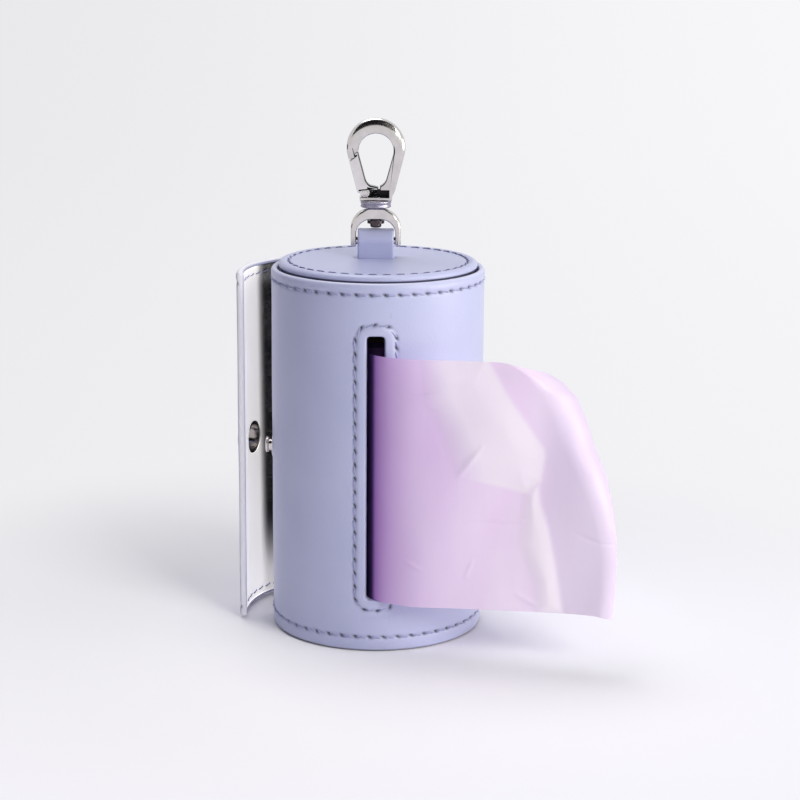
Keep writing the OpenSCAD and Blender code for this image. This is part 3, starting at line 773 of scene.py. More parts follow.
def plug(name, top, low, look_up=True, press=None):
    """Leather disc with a round edge, a stitch circle and a skirt. It looks up or down."""
    edge = 0.95
    count = 560
    a = full_turn(count)
    along = a * LID_STITCHES * PITCH / (2 * math.pi)
    radii = np.concatenate([np.linspace(0.5, 19.5, 34), spread(19.9, PLUG_R - edge, 0.16)])
    rows = []
    painted_shade = []
    for r in radii:
        from_line = np.full(count, r - LID_STITCH_R)
        painted_shade.append(needle_holes(along, from_line, 0.0))
        x, y = r * np.cos(a), r * np.sin(a)
        deep = hole_dents(along, from_line, 0.0)
        deep = deep + 0.02 * np.sin(x * 0.3 + 1) * np.sin(y * 0.26)
        deep = deep - 0.1 * bell(r - LID_PUFF_R, 0.6)
        if press is not None:
            deep = deep + press(x, y)
        rows.append(circle(r, -deep, a))
    rolled = arc(PLUG_R - edge, -edge, edge, 78, -56, 13)
    groove = ((PLUG_R - 0.75, -2.3), (PLUG_R - 0.6, -2.9))
    skirt = ((PLUG_R - 0.1, -3.6), (PLUG_R, -4.2), (PLUG_R, low - top), (PLUG_R - 0.6, low - top))
    rows += [circle(r, z, a) for r, z in (*rolled, *groove, *skirt)]
    faces = grid_faces(len(rows), count, close_cols=True)
    points = np.concatenate([np.concatenate(rows), [[0, 0, rows[0][:, 2].mean()]]])
    faces += [[len(points) - 1, (i + 1) % count, i] for i in range(count)]
    holes = np.zeros(len(points))
    holes[:len(radii) * count] = np.concatenate(painted_shade)
    # Painted shade under the rolled edge and in the groove below it, six rows darkened.
    dark = (len(radii) + 9) * count
    holes[dark:dark + 6 * count] = 0.75
    if look_up:
        points[:, 2] += top
    else:
        points[:, ::2] *= -1
    return face_outward(mesh_object(name, points, faces, sharp=50, marks={"painted_shade": holes}))


def disc(name, radius, low, high):
    """Lining disc with a rolled edge."""
    half = (high - low) / 2
    flat = radius - half
    a = full_turn(160)
    rolled = [tuple(p) for p in arc(flat, (low + high) / 2, half, 75, -75, 6)]
    profile = [(r, high) for r in np.linspace(0.2, flat, 14)] + rolled
    profile += [(r, low) for r in np.linspace(flat, 0.2, 8)]
    rows = []
    for r, z in profile:
        ripple = 0.03 * np.sin(3 * a + r * 0.4) * (r < radius - 1)
        rows.append(circle(r, z - half * 0.2 + ripple * half, a))
    return tube(name, rows, sharp=40)


# Strap and hinge leather


def strap_section():
    """Outline of the strap: its width across and its thickness, a little domed."""
    half_w = STRAP_W / 2
    half_t = STRAP_T / 2 - 0.02
    round_r = 0.42
    outline = []
    for sx, sz, a in CORNERS:
        outline.append(arc(sx * (half_w - round_r), sz * (half_t - round_r), round_r, a, a + 90, 6))
        if sz * sx > 0:
            xs = np.linspace(sx * (half_w - round_r), -sx * (half_w - round_r), 12)[1:-1]
            crown = 0.05 * np.cos(xs / half_w * math.pi / 2) - 0.02
            outline.append(np.stack([xs, sz * (half_t + crown - 0.03)], 1))
    return np.concatenate(outline)


def swept_strap():
    """Strap folded over the bar, its two plies closing up where they enter the lid."""
    foot_z = LID_TOP - 0.9
    foot_y = STRAP_T / 2 + 0.02
    bend_z = BAR_Z + STRAP_SLACK
    lean = math.degrees(math.asin((STRAP_MID_R - foot_y) / (bend_z - foot_z)))
    over = arc(0.0, bend_z, STRAP_MID_R, 180 + lean, -lean, 44)
    left = np.linspace((-foot_y, foot_z - 0.6), over[0], 14, endpoint=False)
    right = np.linspace(over[-1], (foot_y, foot_z - 0.6), 15)[1:]
    path = np.concatenate([left, over, right])
    across, thick = strap_section().T
    rows = []
    for (y, z), out in zip(path, path_sides(path)):
        rows.append(np.stack([HANG[0] + across, HANG[1] + y + thick * out[0], z + thick * out[1]], 1))
    return tube("strap_leather", rows)


def hinge_section():
    """Outline of the hinge strip: its thickness and its height."""
    low, high, half = FLAP_LOW + 1.7, FLAP_TOP - 1.7, 0.5
    bead = np.radians((30, 60, 90, 120, 150))
    upright = spread(low + half, high - half, 2.2)
    section = [(half, z) for z in upright]
    section += [(half * math.cos(a), high - half + half * math.sin(a)) for a in bead]
    section += [(-half, z) for z in upright[::-1]]
    section += [(-half * math.cos(a), low + half - half * math.sin(a)) for a in bead]
    return np.array(section).T


def hinge_leather():
    """Bare leather strip between the wall's end and the flap's end, on the hinge line."""
    end = np.radians((WALL_TO - 360, FLAP_FROM))
    wall_end = WALL.mid * np.array((math.cos(end[0]), math.sin(end[0])))
    flap_end = FLAP.mid * np.array((math.cos(end[1]), math.sin(end[1]))) + np.array((FLAP_CENTRE, 0))
    flap_end = turn_about_hinge(flap_end[None])[0]
    pull = 2 * (HINGE + np.array((0.06, 0.16))) - (wall_end + flap_end) / 2
    t = np.linspace(0, 1, 17)[:, None]
    path = (1 - t) ** 2 * wall_end + 2 * t * (1 - t) * pull + t**2 * flap_end
    thick, height = hinge_section()
    rows = []
    for i, (p, out) in enumerate(zip(path, path_sides(path))):
        crease = 0.06 * np.sin(height * 0.8 + i)
        side = thick + crease * np.sin(math.pi * i / 16) * (np.abs(thick) > 0.4)
        rows.append(np.stack([p[0] + out[0] * side, p[1] + out[1] * side, height], 1))
    return tube("hinge_leather", rows)


# Nickel castings: swivel eye, hook body and gate

HOOK_R, HOOK_Z = 7.15, 118.4
FOOT_R, FOOT_Z = 4.95, 109.6
HOOK_LOW = 105.45
BASE_HALF = 3.9
HOLE_R, HOLE_Z = 4.25, 117.6
HOLE_LOW_R, HOLE_LOW_Z = 2.65, 111.5
HOOK_DEPTH = 3.2
PIN = (-2.65, 107.5)
ROOT_R = 1.3
POCKET_FLOOR = 106.4
POCKET_X = 3.1
COIL_X, COIL_LOW = -0.35, 105.85
TOE_LOW, TOE_T, TOE_X = 107.95, 0.9, 0.6
TOE_ROOM = 0.97
NOSE = (-3.0, 118.25)
NOSE_SLOPE = 0.7952
GATE_GAP = 0.15
OUTER_LEAN = math.degrees(math.asin((HOOK_R - FOOT_R) / (HOOK_Z - FOOT_Z)))
INNER_LEAN = math.degrees(math.asin((HOLE_R - HOLE_LOW_R) / (HOLE_Z - HOLE_LOW_Z)))


def over_nose(points):
    """How high points lie over the slanted cut between hook and gate."""
    return points[:, 1] - NOSE[1] - NOSE_SLOPE * (points[:, 0] - NOSE[0])


def above_nose(points):
    """The points that belong to the hook: all but those of its left side below the cut."""
    return points[(over_nose(points) > 0) | (points[:, 0] > 0)]


def below_nose(points):
    """The points that belong to the gate, with a gap between it and the hook."""
    return points[over_nose(points) < -GATE_GAP]


def left_side():
    """The straight outer side that the hook and the gate share."""
    low = arc(0, FOOT_Z, FOOT_R, 180 + OUTER_LEAN, 0, 2)[0]
    return np.linspace(low, arc(0, HOOK_Z, HOOK_R, 180 + OUTER_LEAN, 0, 2)[0], 60)


def hook_outline():
    """C-shaped outline of the hook body, from its nose over the crown to the foot and back."""
    crown = arc(0, HOOK_Z, HOOK_R, 180 + OUTER_LEAN, -OUTER_LEAN, 90)
    foot_right = arc(0, FOOT_Z, FOOT_R, 360 - OUTER_LEAN, 325, 8)
    base = np.array(((BASE_HALF, HOOK_LOW), (-BASE_HALF, HOOK_LOW), (-4.01, POCKET_FLOOR)))
    pocket = np.array(((POCKET_X, POCKET_FLOOR), (POCKET_X, TOE_LOW), (TOE_ROOM, TOE_LOW)))
    from_toe = -math.degrees(math.acos(TOE_ROOM / HOLE_LOW_R))
    hole_low = arc(0, HOLE_LOW_Z, HOLE_LOW_R, from_toe, -INNER_LEAN, 14)
    hole_top = above_nose(arc(0, HOLE_Z, HOLE_R, -INNER_LEAN, 180 + INNER_LEAN, 80))
    outer = above_nose(np.concatenate([left_side(), crown[1:]]))
    return np.concatenate([outer, foot_right, base, pocket, hole_low, hole_top])


def gate_outline():
    """Bar of the gate, its round root on the pin, and the toe over the spring."""
    outer = below_nose(left_side())
    foot = arc(0, FOOT_Z, FOOT_R, 204, 180 + OUTER_LEAN, 6)[:-1]
    root = arc(PIN[0], PIN[1], ROOT_R, 20, -172, 16)
    toe = np.array(((TOE_X - 0.2, TOE_LOW + TOE_T), (TOE_X, TOE_LOW + TOE_T - 0.2),
                    (TOE_X, TOE_LOW + 0.2), (TOE_X - 0.2, TOE_LOW)))
    hole_top = below_nose(arc(0, HOLE_Z, HOLE_R, 150, 180 + INNER_LEAN, 60))
    hole_low = arc(0, HOLE_LOW_Z, HOLE_LOW_R, 180 + INNER_LEAN, 240, 14)
    return np.concatenate([hole_top, hole_low, toe, root, foot, outer])


def eye_outline():
    """Arch with two legs that end round below the bar."""
    half, top, bend, leg = 6.15, 103.6, 4.95, 1.35
    under, low = 100.85, 94.15
    tip = leg / 2
    upper, lower = top - bend, under - bend + leg
    return np.concatenate([arc(half - tip, low + tip, tip, 180, 360, 10),
                           arc(half - bend, upper, bend, 0, 90, 22),
                           arc(bend - half, upper, bend, 90, 180, 22),
                           arc(tip - half, low + tip, tip, 180, 360, 10),
                           arc(bend - half, lower, bend - leg, 180, 90, 18),
                           arc(half - bend, lower, bend - leg, 90, 0, 18)])


def inward(outline):
    """Directions into an outline at its points, long enough to keep a bevel even at corners."""
    following = np.roll(outline, -1, 0)
    area = np.sum(outline[:, 0] * following[:, 1] - following[:, 0] * outline[:, 1])
    turn = 1.0 if area > 0 else -1.0
    sides = []
    for edge in (outline - np.roll(outline, 1, 0), following - outline):
        edge = unit(edge)
        sides.append(turn * np.stack([-edge[:, 1], edge[:, 0]], 1))
    middle = sides[0] + sides[1]
    middle /= np.maximum(np.linalg.norm(middle, axis=1, keepdims=True), 1e-6)
    cosine = np.sum(middle * sides[0], axis=1, keepdims=True)
    return middle / np.maximum(cosine, 0.45)


def casting(name, outline, depth, bevel_at, shade_at=None):
    """Flat casting cut to an outline.

    bevel_at gives the width and depth of its rounded edge at a point, and shade_at how much painted
    shade and dark reflection it gets.
    """
    outline = outline[np.linalg.norm(outline - np.roll(outline, 1, 0), axis=1) > 0.02]
    into = inward(outline)
    width, drop_by = np.array([bevel_at(x, z) for x, z in outline]).T
    quarter = np.radians((0, 12, 24, 36, 48, 60, 75, 90))
    rings = [(1.1, 0.0, 1)] + [(1 - math.sin(t), 1 - math.cos(t), 1) for t in quarter]
    rings += [(inset, drop, -1) for inset, drop, _ in rings[::-1]]
    points = []
    for inset, drop, side in rings:
        flat = outline + into * width[:, None] * inset
        y = HANG[1] - side * (depth / 2 - drop_by * drop)
        points.append(np.stack([HANG[0] + flat[:, 0], y, flat[:, 1]], 1))
    shade = np.zeros((len(rings), len(outline)))
    if shade_at is not None:
        shade[3:-3] = [shade_at(x, z) for x, z in outline]
    return tube(name, points, sharp=32, marks={"painted_shade_and_reflection": shade})


def outside_hook(x, z):
    """1 on the hook's outer outline and 0 along its hole."""
    out = math.hypot(x, z - HOOK_Z) - 5.6 if z > HOOK_Z - 4 else abs(x) - 3.7
    return float(smooth_step(out, -0.2, 0.2))


def hook_bevel(x, z):
    """The hook is well rounded outside and less so along its hole, at its nose and its foot."""
    nose = math.hypot(x - NOSE[0], z - NOSE[1])
    full = outside_hook(x, z) * float(smooth_step(z, 107.5, 112)) * float(smooth_step(nose, 1.0, 7.5))
    return 0.32 + 2.1 * full, 0.32 + 0.9 * full


# Painted dark reflection along the hook's hole, fading out towards its top.
def hook_shade(x, z):
    return 0.9 * (1 - outside_hook(x, z)) * float(1 - smooth_step(z, 114, 121))


def gate_bevel(x, z):
    return 0.42, 0.42


def gate_shade(x, z):
    """Painted shade and dark reflection: the gate's inner side and its tip lie in the hook's shadow."""
    inner = 1 - outside_hook(x, z)
    return 0.95 * inner * float(smooth_step(z, 106, 108))


def eye_bevel(x, z):
    out = math.hypot(x, z - 98.65) - 5.4 if z > 98.65 else abs(x) - 5.4
    full = float(smooth_step(out, -0.2, 0.2))
    return 0.3 + 0.45 * full, 0.3 + 0.5 * full


def pocket_cheek():
    """Thin dark sheet that closes the back of the spring's pocket, standing in for the shade inside it.
    """
    left, right, low, high = -2.2, POCKET_X + 0.1, POCKET_FLOOR - 0.1, TOE_LOW + 0.1
    corners = np.array(((left, low), (right, low), (right, high), (left, high)))
    y = HANG[1] + HOOK_DEPTH / 2 - 0.13
    rings = [[(HANG[0] + x, y + deep, z) for x, z in corners] for deep in (0.0, 0.11)]
    return tube("pocket_cheek", rings, sharp=40)


def gate_coil():
    """Coil spring under the gate's toe, wound from round wire."""
    turns, radius, wire = 2.6, 0.7, 0.14
    low, high = COIL_LOW + wire, TOE_LOW - 0.05 - wire
    a = np.linspace(0, 2 * math.pi * turns, 96)
    middle = circle(radius, low + (high - low) * a / a[-1], a)
    out = circle(1.0, 0.0, a)
    up = np.cross(unit(np.gradient(middle, axis=0)), out)
    around = full_turn(12)[None, :, None]
    ring = out[:, None] * np.cos(around) + up[:, None] * np.sin(around)
    return tube("gate_coil", middle[:, None] + wire * ring + np.array((HANG[0] + COIL_X, HANG[1], 0)))


def pin_head():
    """Low round head of the gate pin."""
    profile = ((0.05, 0.0), (0.5, 0.0), (0.72, 0.07), (0.78, 0.16), (0.78, 0.4), (0.05, 0.4))
    front = HANG[1] - HOOK_DEPTH / 2 - 0.14
    return moved(lathe("pin_head", profile, sides=40), (HANG[0] + PIN[0], front, PIN[1]), -90, "X")


def lathe(name, profile, sides=64):
    """Turned piece round the Z axis, from (radius, height) points."""
    return tube(name, [circle(r, z, full_turn(sides)) for r, z in profile], sharp=32)


def moved(obj, place, turn=0.0, axis="X"):
    """The piece, turned about an axis and then put at a place in millimetres."""
    obj.data.transform(Matrix.Rotation(math.radians(turn), 4, axis))
    obj.data.transform(Matrix.Translation(Vector(place) * MM))
    return obj


def hook_collar():
    """Turned collar below the hook, with a shallow waist."""
    low, high, r, edge = 103.85, 105.6, 3.75, 0.3
    waist = ((r - 0.1, low + 0.62), (r - 0.12, low + 0.85), (r, low + 1.05))
    profile = ((0.4, low), *arc(r - edge, low + edge, edge, -90, 0, 6), *waist,
               *arc(r - edge, high - edge, edge, 0, 90, 6), (0.4, high))
    return moved(lathe("hook_collar", profile), (*HANG, 0))


def eye_bar():
    """Bar through the strap, set into the legs of the eye."""
    reach = 5.6
    half = ((0.15, -reach), (BAR_R * 0.8, -reach), (BAR_R, 0.2 - reach))
    profile = (*half, *[(r, -z) for r, z in half[::-1]])
    return moved(lathe("eye_bar", profile, sides=40), (*HANG, BAR_Z), 90, "Y")


# Film

# Corners of the bright facet and of the bright band, in pixels of the photograph
FACET = ((423, 361), (487, 358), (505, 391), (523, 418), (544, 449), (545, 457), (541, 482),
         (526, 495), (505, 489), (469, 480), (459, 475), (450, 455), (442, 434), (425, 404))
FACET_SOFT_SIDE = ((423, 361), (425, 404), (442, 434), (450, 455), (459, 475))
BAND_LEFT = ((525, 492), (523, 511), (521, 546), (530, 570), (535, 582), (537, 614))
BAND_RIGHT = ((562, 614), (555, 564), (548, 528), (540, 503), (538, 486))

# The film's outer side as the camera sees it, from the top edge down, in the same pixels
OUTER_SIDE = ((540, 362), (560, 374), (575, 390), (585, 414), (593, 440), (605, 470), (613, 500),
              (618, 530), (619, 560), (616, 590), (610, 623))

# Creases: the pixels at both ends, the width, and how far they stand out
CREASES = (((467, 523), (532, 523), 0.35, 0.22),
           ((573, 532), (598, 543), 0.3, -0.3),
           ((598, 543), (617, 542), 0.3, -0.25),
           ((405, 560), (421, 569), 0.4, 0.3),
           ((465, 578), (472, 562), 0.4, 0.25),
           ((516, 595), (535, 605), 0.5, 0.35),
           ((410, 398), (446, 393), 0.35, 0.18),
           ((430, 408), (450, 414), 0.35, 0.16),
           ((459, 476), (482, 447), 0.7, 0.3))
CURL_TOP_R, CURL_LOW_R = 9.0, 3.5
CURL_DROOP = 0.26


def bezier(p, t):
    t = np.asarray(t)[:, None]
    return (1 - t) ** 3 * p[0] + 3 * (1 - t) ** 2 * t * p[1] + 3 * (1 - t) * t**2 * p[2] + t**3 * p[3]


def film_plan():
    """The film's line seen from above: off the roll, through the slot, out to the tip."""
    out = unit(FILM_EXIT - FILM_TOUCH)
    middle = np.array((FILM_TIP[0] * 0.45, (FILM_EXIT[1] + FILM_TIP[1]) / 2))
    outside = bezier((FILM_EXIT, FILM_EXIT + 9 * out, middle, FILM_TIP), np.linspace(0, 1, 200))
    line = np.concatenate([np.linspace(FILM_TOUCH, FILM_EXIT, 20, endpoint=False), outside])
    return line, run_length(line)


FILM_LINE, FILM_ALONG = film_plan()
SLOT_AT = float(np.linalg.norm(FILM_EXIT - FILM_TOUCH))


def camera_turn():
    turn = Euler((math.radians(CAMERA_TILT), 0, 0)).to_matrix()
    return turn @ Matrix.Rotation(math.radians(CAMERA_ROLL), 3, "Z")


def pixel_ray(px, py):
    """Direction of the camera's ray through a pixel of the photograph."""
    focal = LENS / SENSOR * PHOTO_PX
    ray = camera_turn() @ Vector((px - PHOTO_PX / 2, PHOTO_PX / 2 - py, -focal))
    return np.array(ray.normalized())


def film_place(px, py):
    """Where a pixel lies on the flat film: (x of the front view, height)."""
    ray = pixel_ray(px, py)
    y = FILM_EXIT[1] - 6.0
    for _ in range(6):
        spot = CAMERA_AT + ray * (y - CAMERA_AT[1]) / ray[1]
        outside = FILM_LINE[20:]
        y = float(np.interp(spot[0], outside[:, 0], outside[:, 1]))
    return spot[0], spot[2]


def to_segment(x, z, a, b):
    """Share of the way from a to b that lies nearest to each place, and the distance from it."""
    ax, az = a
    bx, bz = b
    length2 = (bx - ax) ** 2 + (bz - az) ** 2
    t = np.clip(((x - ax) * (bx - ax) + (z - az) * (bz - az)) / length2, 0, 1)
    return t, np.hypot(x - ax - t * (bx - ax), z - az - t * (bz - az))


def away_from_line(x, z, line):
    """Distance from a line through places on the film."""
    return np.min([to_segment(x, z, a, b)[1] for a, b in zip(line[:-1], line[1:])], 0)


def depth_in_polygon(x, z, corners):
    """Distance from a polygon's outline, below 0 outside it."""
    inside = np.zeros(x.shape, bool)
    for (ax, az), (bx, bz) in zip(corners, corners[1:] + corners[:1]):
        crosses = (az > z) != (bz > z)
        with np.errstate(divide="ignore", invalid="ignore"):
            inside ^= crosses & (x < ax + (z - az) / (bz - az) * (bx - ax))
    away = away_from_line(x, z, corners + corners[:1])
    return np.where(inside, away, -away)


def crease(x, z, a, b, width, depth):
    """Ridge from one place on the film to another."""
    t, away = to_segment(x, z, a, b)
    return depth * bell(away, width) * (0.35 + 0.65 * np.sin(math.pi * np.clip(t, 0.02, 0.98)))


def film_relief(x, z):
    """How far the film stands out of its smooth run, and where the bright facet and band get a painted
    highlight.
    """
    facet, soft_side, band_left, band_right = (
        [film_place(*p) for p in line] for line in (FACET, FACET_SOFT_SIDE, BAND_LEFT, BAND_RIGHT))
    in_facet = depth_in_polygon(x, z, facet)
    in_band = depth_in_polygon(x, z, band_left + band_right)
    out = smooth_step(x, 1.0, 12.0)
    lift = 0.9 * smooth_step(in_facet, -1.2, 6.0) + 0.6 * smooth_step(in_band, -1.0, 3.0)
    lift = lift + out * 0.7 * np.sin(x * 0.11 + z * 0.03 + 0.5)
    lift = lift + out * 0.3 * np.sin(x * 0.23 - z * 0.12 + 2.0)
    for start, end, width, depth in CREASES:
        lift = lift + crease(x, z, film_place(*start), film_place(*end), width, depth)
    near_soft_side = smooth_step(away_from_line(x, z, soft_side), -1.0, 7.0)
    facet_highlight = smooth_step(in_facet, -0.7, 0.7) * near_soft_side
    near_left = smooth_step(away_from_line(x, z, band_left), 0.0, 3.0)
    band_highlight = smooth_step(in_band, -0.6, 0.6) * (0.35 + 0.65 * near_left)
    return lift, np.maximum(facet_highlight, band_highlight)


def outer_side(z):
    """Distance out to which the film's outer side reaches, at a height."""
    spots = np.array([film_place(*p) for p in OUTER_SIDE])[::-1]
    return np.interp(z, spots[:, 1], spots[:, 0])


def curl_back(x, z):
    """Rolls the film's outer side back. Returns the moved place and the depth behind the film."""
    radius = CURL_LOW_R + (CURL_TOP_R - CURL_LOW_R) * smooth_step(z, FILM_LOW, FILM_LOW + ROLL_W)
    start = outer_side(z) - radius
    d = np.maximum(x - start, 0)
    turn = np.minimum(d / radius, math.pi)
    moved_x = np.where(d > 0, start + radius * np.sin(turn), x)
    return moved_x, z - CURL_DROOP * d, radius * (1 - np.cos(turn))


def on_film_line(run):
    """Points of the film's line, seen from above, at lengths along it."""
    return np.stack([np.interp(run, FILM_ALONG, FILM_LINE[:, i]) for i in (0, 1)])


def bag_film():
    """Film pulled out through the slot, as one thin sheet."""
    u = spread(0, FILM_ALONG[-1], 0.4)
    v = spread(0, ROLL_W, 0.4)
    z = FILM_LOW + v[:, None] + 0 * u
    lift, painted_highlight = film_relief(on_film_line(u)[0] + 0 * z, z)
    lift = lift * smooth_step(u, 20.0, 24.0)
    end = u[-1] - 0.12 * np.abs(np.sin(v * 2.4)) - 0.03 * (v - 20) * (v > 20)
    run = np.minimum(u, end[:, None])
    cut = u - run
    along_x = on_film_line(run)[0]
    turned_x, turned_z, back = curl_back(along_x, z)
    flat_run = run - (along_x - turned_x) * 1.03
    ahead, aside = on_film_line(flat_run + 0.5) - on_film_line(flat_run - 0.5)
    size = np.hypot(ahead, aside)
    front = np.stack([aside / size, -ahead / size, 0 * size], -1)
    points = np.stack([*on_film_line(flat_run), turned_z], -1) + front * (lift - back)[..., None]
    keep = (cut[:-1, 1:] <= cut[:-1, :-1] + 1e-9) | (cut[:-1, :-1] <= 0)
    faces = grid_faces(*z.shape, keep=keep)
    # The first mark is the film's painted highlight.
    marks = {"painted_film_highlight": painted_highlight,
             # Painted shade near the slot and inside the case.
             "near_slot": np.exp(-np.maximum(u - SLOT_AT, 0) / 8.0) + 0 * z,
             "in_case": 1 - smooth_step(u, SLOT_AT - 0.5, SLOT_AT + 1.2) + 0 * z,
             # Painted shade towards the far end.
             "far_end": smooth_step(u, u[-1] - 24, u[-1] - 12) + 0 * z}
    obj = mesh_object("bag_film", points.reshape(-1, 3), faces, sharp=180, marks=marks)
    with edited(obj) as bm:
        bmesh.ops.remove_doubles(bm, verts=bm.verts, dist=2e-6)
    return obj


def wound_roll():
    """Roll of bags: many turns of film, whose edges step in and out at both ends."""
    chance = np.random.default_rng(7)
    a = full_turn(120)
    radii = spread(ROLL_CORE_R + 0.1, ROLL_R - 0.12, 0.2)
    wobble = chance.normal(0, 0.09, (len(radii), 6))

    def end_rings(z, sign):
        for i, r in enumerate(radii):
            ripple = sum(wobble[i, k] * np.cos((k + 1) * a + k) for k in range(6)) / 2
            yield circle(r, z - sign * (0.3 + 0.18 * (i % 2) + ripple * 0.4), a)

    high = ROLL_LOW + ROLL_W
    rows = [circle(ROLL_CORE_R, ROLL_LOW + 1, a), *end_rings(ROLL_LOW, -1)]
    for z in spread(ROLL_LOW + 0.3, high - 0.3, 3.0):
        rows.append(circle(ROLL_R - 0.05 + 0.04 * np.sin(a * 2 + z * 0.2) - 0.12 * (a < 0.06), z, a))
    rows += [*list(end_rings(high, 1))[::-1], circle(ROLL_CORE_R, high - 1, a)]
    faces = grid_faces(len(rows), len(a), close_rows=True, close_cols=True)
    return face_outward(mesh_object("wound_film", np.concatenate(rows), faces, sharp=35))


# Materials

GAP_REACH = 26


def linear(r, g, b):
    """Linear colour of an sRGB colour given in 0..255."""
    out = []
    for c in (r, g, b):
        c = c / 255
        out.append(c / 12.92 if c <= 0.04045 else ((c + 0.055) / 1.055) ** 2.4)
    return (*out, 1.0)


class Tree:
    """Node tree of a material or a world, with short calls for the nodes used here."""

    def __init__(self, owner):
        owner.use_nodes = True
        self.nodes = owner.node_tree.nodes
        self.links = owner.node_tree.links

    def feed(self, socket, value):
        """Links a socket to another node's output, or sets it to a value."""
        if hasattr(value, "is_output"):
            self.links.new(value, socket)
        else:
            socket.default_value = value

    def node(self, kind, inputs, **settings):
        """New node with these settings, and with inputs fed by their names or numbers."""
        made = self.nodes.new("ShaderNode" + kind)
        for key, value in settings.items():
            setattr(made, key, value)
        for key, value in inputs.items():
            self.feed(made.inputs[key], value)
        return made

    def reckon(self, operation, *values):
        return self.node("Math", dict(enumerate(values)), operation=operation).outputs[0]

    def layer(self, share, below, above):
        """Mix of two shaders, with that share of the one above."""
        return self.node("MixShader", {0: share, 1: below, 2: above}).outputs[0]

    def seen_directly(self):
        """1 for camera, glossy and transmission rays."""
        path = self.node("LightPath", {}).outputs
        total = path["Is Camera Ray"]
        for name in ("Is Glossy Ray", "Is Transmission Ray"):
            total = self.reckon("MAXIMUM", total, path[name])
        return total


class Paint(Tree):
    """One procedural material. Sizes are in millimetres."""

    def __init__(self, name):
        self.material = bpy.data.materials.new(name)
        super().__init__(self.material)
        self.shader = self.nodes["Principled BSDF"]
        self.place = self.node("TexCoord", {}).outputs["Object"]

    def noise(self, size, detail=3.0, stretch=None):
        place = self.place
        if stretch is not None:
            place = self.node("VectorMath", {0: place, 1: stretch}, operation="MULTIPLY").outputs[0]
        inputs = {"Scale": 1 / (size * MM), "Detail": detail, "Roughness": 0.5, "Vector": place}
        return self.node("TexNoise", inputs).outputs["Fac"]

    def cells(self, size):
        inputs = {"Scale": 1 / (size * MM), "Smoothness": 0.35, "Vector": self.place}
        return self.node("TexVoronoi", inputs, feature="SMOOTH_F1").outputs["Distance"]

    def mark(self, name):
        return self.node("Attribute", {}, attribute_name=name).outputs["Fac"]

    def ramp(self, value, low, high, colour_low, colour_high):
        node = self.node("ValToRGB", {"Fac": value})
        steps = zip(node.color_ramp.elements, (low, high), (colour_low, colour_high))
        for element, position, colour in steps:
            element.position = position
            element.color = colour
        return node.outputs["Color"]

    def span(self, value, low, high):
        """low where the value is 0, and high where it is 1."""
        return self.node("MapRange", {"Value": value, "To Min": low, "To Max": high}).outputs["Result"]

    def smooth(self, value, low, high):
        """0 where the value is low, and 1 where it is high, smooth between."""
        inputs = {"Value": value, "From Min": low, "From Max": high}
        return self.node("MapRange", inputs, interpolation_type="SMOOTHSTEP").outputs["Result"]

    def closeness(self, reach, open_share, shut_share):
        """0 where this share of the view is open or more, and 1 in a gap that shuts out the rest."""
        near = self.node("AmbientOcclusion", {"Distance": reach * MM}, samples=16)
        return self.smooth(near.outputs["AO"], open_share, shut_share)

    def mix(self, share, a, b):
        """Colour a where the share is 0, and b where it is 1."""
        node = self.node("Mix", {0: share}, data_type="RGBA")
        colours = [socket for socket in node.inputs if socket.type == "RGBA"]
        self.feed(colours[0], a)
        self.feed(colours[1], b)
        return next(socket for socket in node.outputs if socket.type == "RGBA")

    def along(self, way, low, high):
        """0 at low and 1 at high, smooth between, for the place along a direction."""
        node = self.node("VectorMath", {0: self.place, 1: way}, operation="DOT_PRODUCT")
        return self.smooth(node.outputs["Value"], low * MM, high * MM)

    def distance(self, low, high):
        """0 at low and 1 at high, smooth between, for the distance from the origin."""
        node = self.node("VectorMath", {0: self.place}, operation="LENGTH")
        return self.smooth(node.outputs["Value"], low * MM, high * MM)

    def add(self, a, b, weight):
        return self.reckon("MULTIPLY_ADD", b, weight, a)

    def bump(self, height, distance, strength):
        inputs = {"Distance": distance * MM, "Strength": strength, "Height": height}
        self.set(Normal=self.node("Bump", inputs).outputs["Normal"])

    def set(self, **values):
        for key, value in values.items():
            self.feed(self.shader.inputs[key.replace("_", " ")], value)

    def show(self, shader):
        self.feed(self.nodes["Material Output"].inputs["Surface"], shader)


def leather_paint(name, dark, light, wear_and_edge_highlight, wear_and_highlight_share=0.5):
    """Fine-grained coated leather, lighter on its round edges: wear on the wall, and a painted highlight
    on the flap.
    """
    grain, rough = 0.5, 0.46
    p = Paint(name)
    base = p.ramp(p.noise(22, 4), 0.3, 0.7, dark, light)
    base = p.mix(p.span(p.mark("wear_and_edge_highlight"), 0.0, wear_and_highlight_share), base, wear_and_edge_highlight)
    # Painted shade: needle holes, the wall's foot and the lid's undercut darkened nearly to black.
    base = p.mix(p.mark("painted_shade"), base, linear(28, 26, 46))
    pebbles = p.add(p.cells(grain), p.noise(grain * 0.45, 2), 0.5)
    p.bump(p.add(pebbles, p.noise(3.5, 3), 0.6), 0.035, 0.55)
    p.set(Base_Color=base, Roughness=p.span(p.noise(1.1, 3), rough - 0.05, rough + 0.08))
    p.set(Coat_Weight=0.5, Coat_Roughness=0.34)
    return p.material


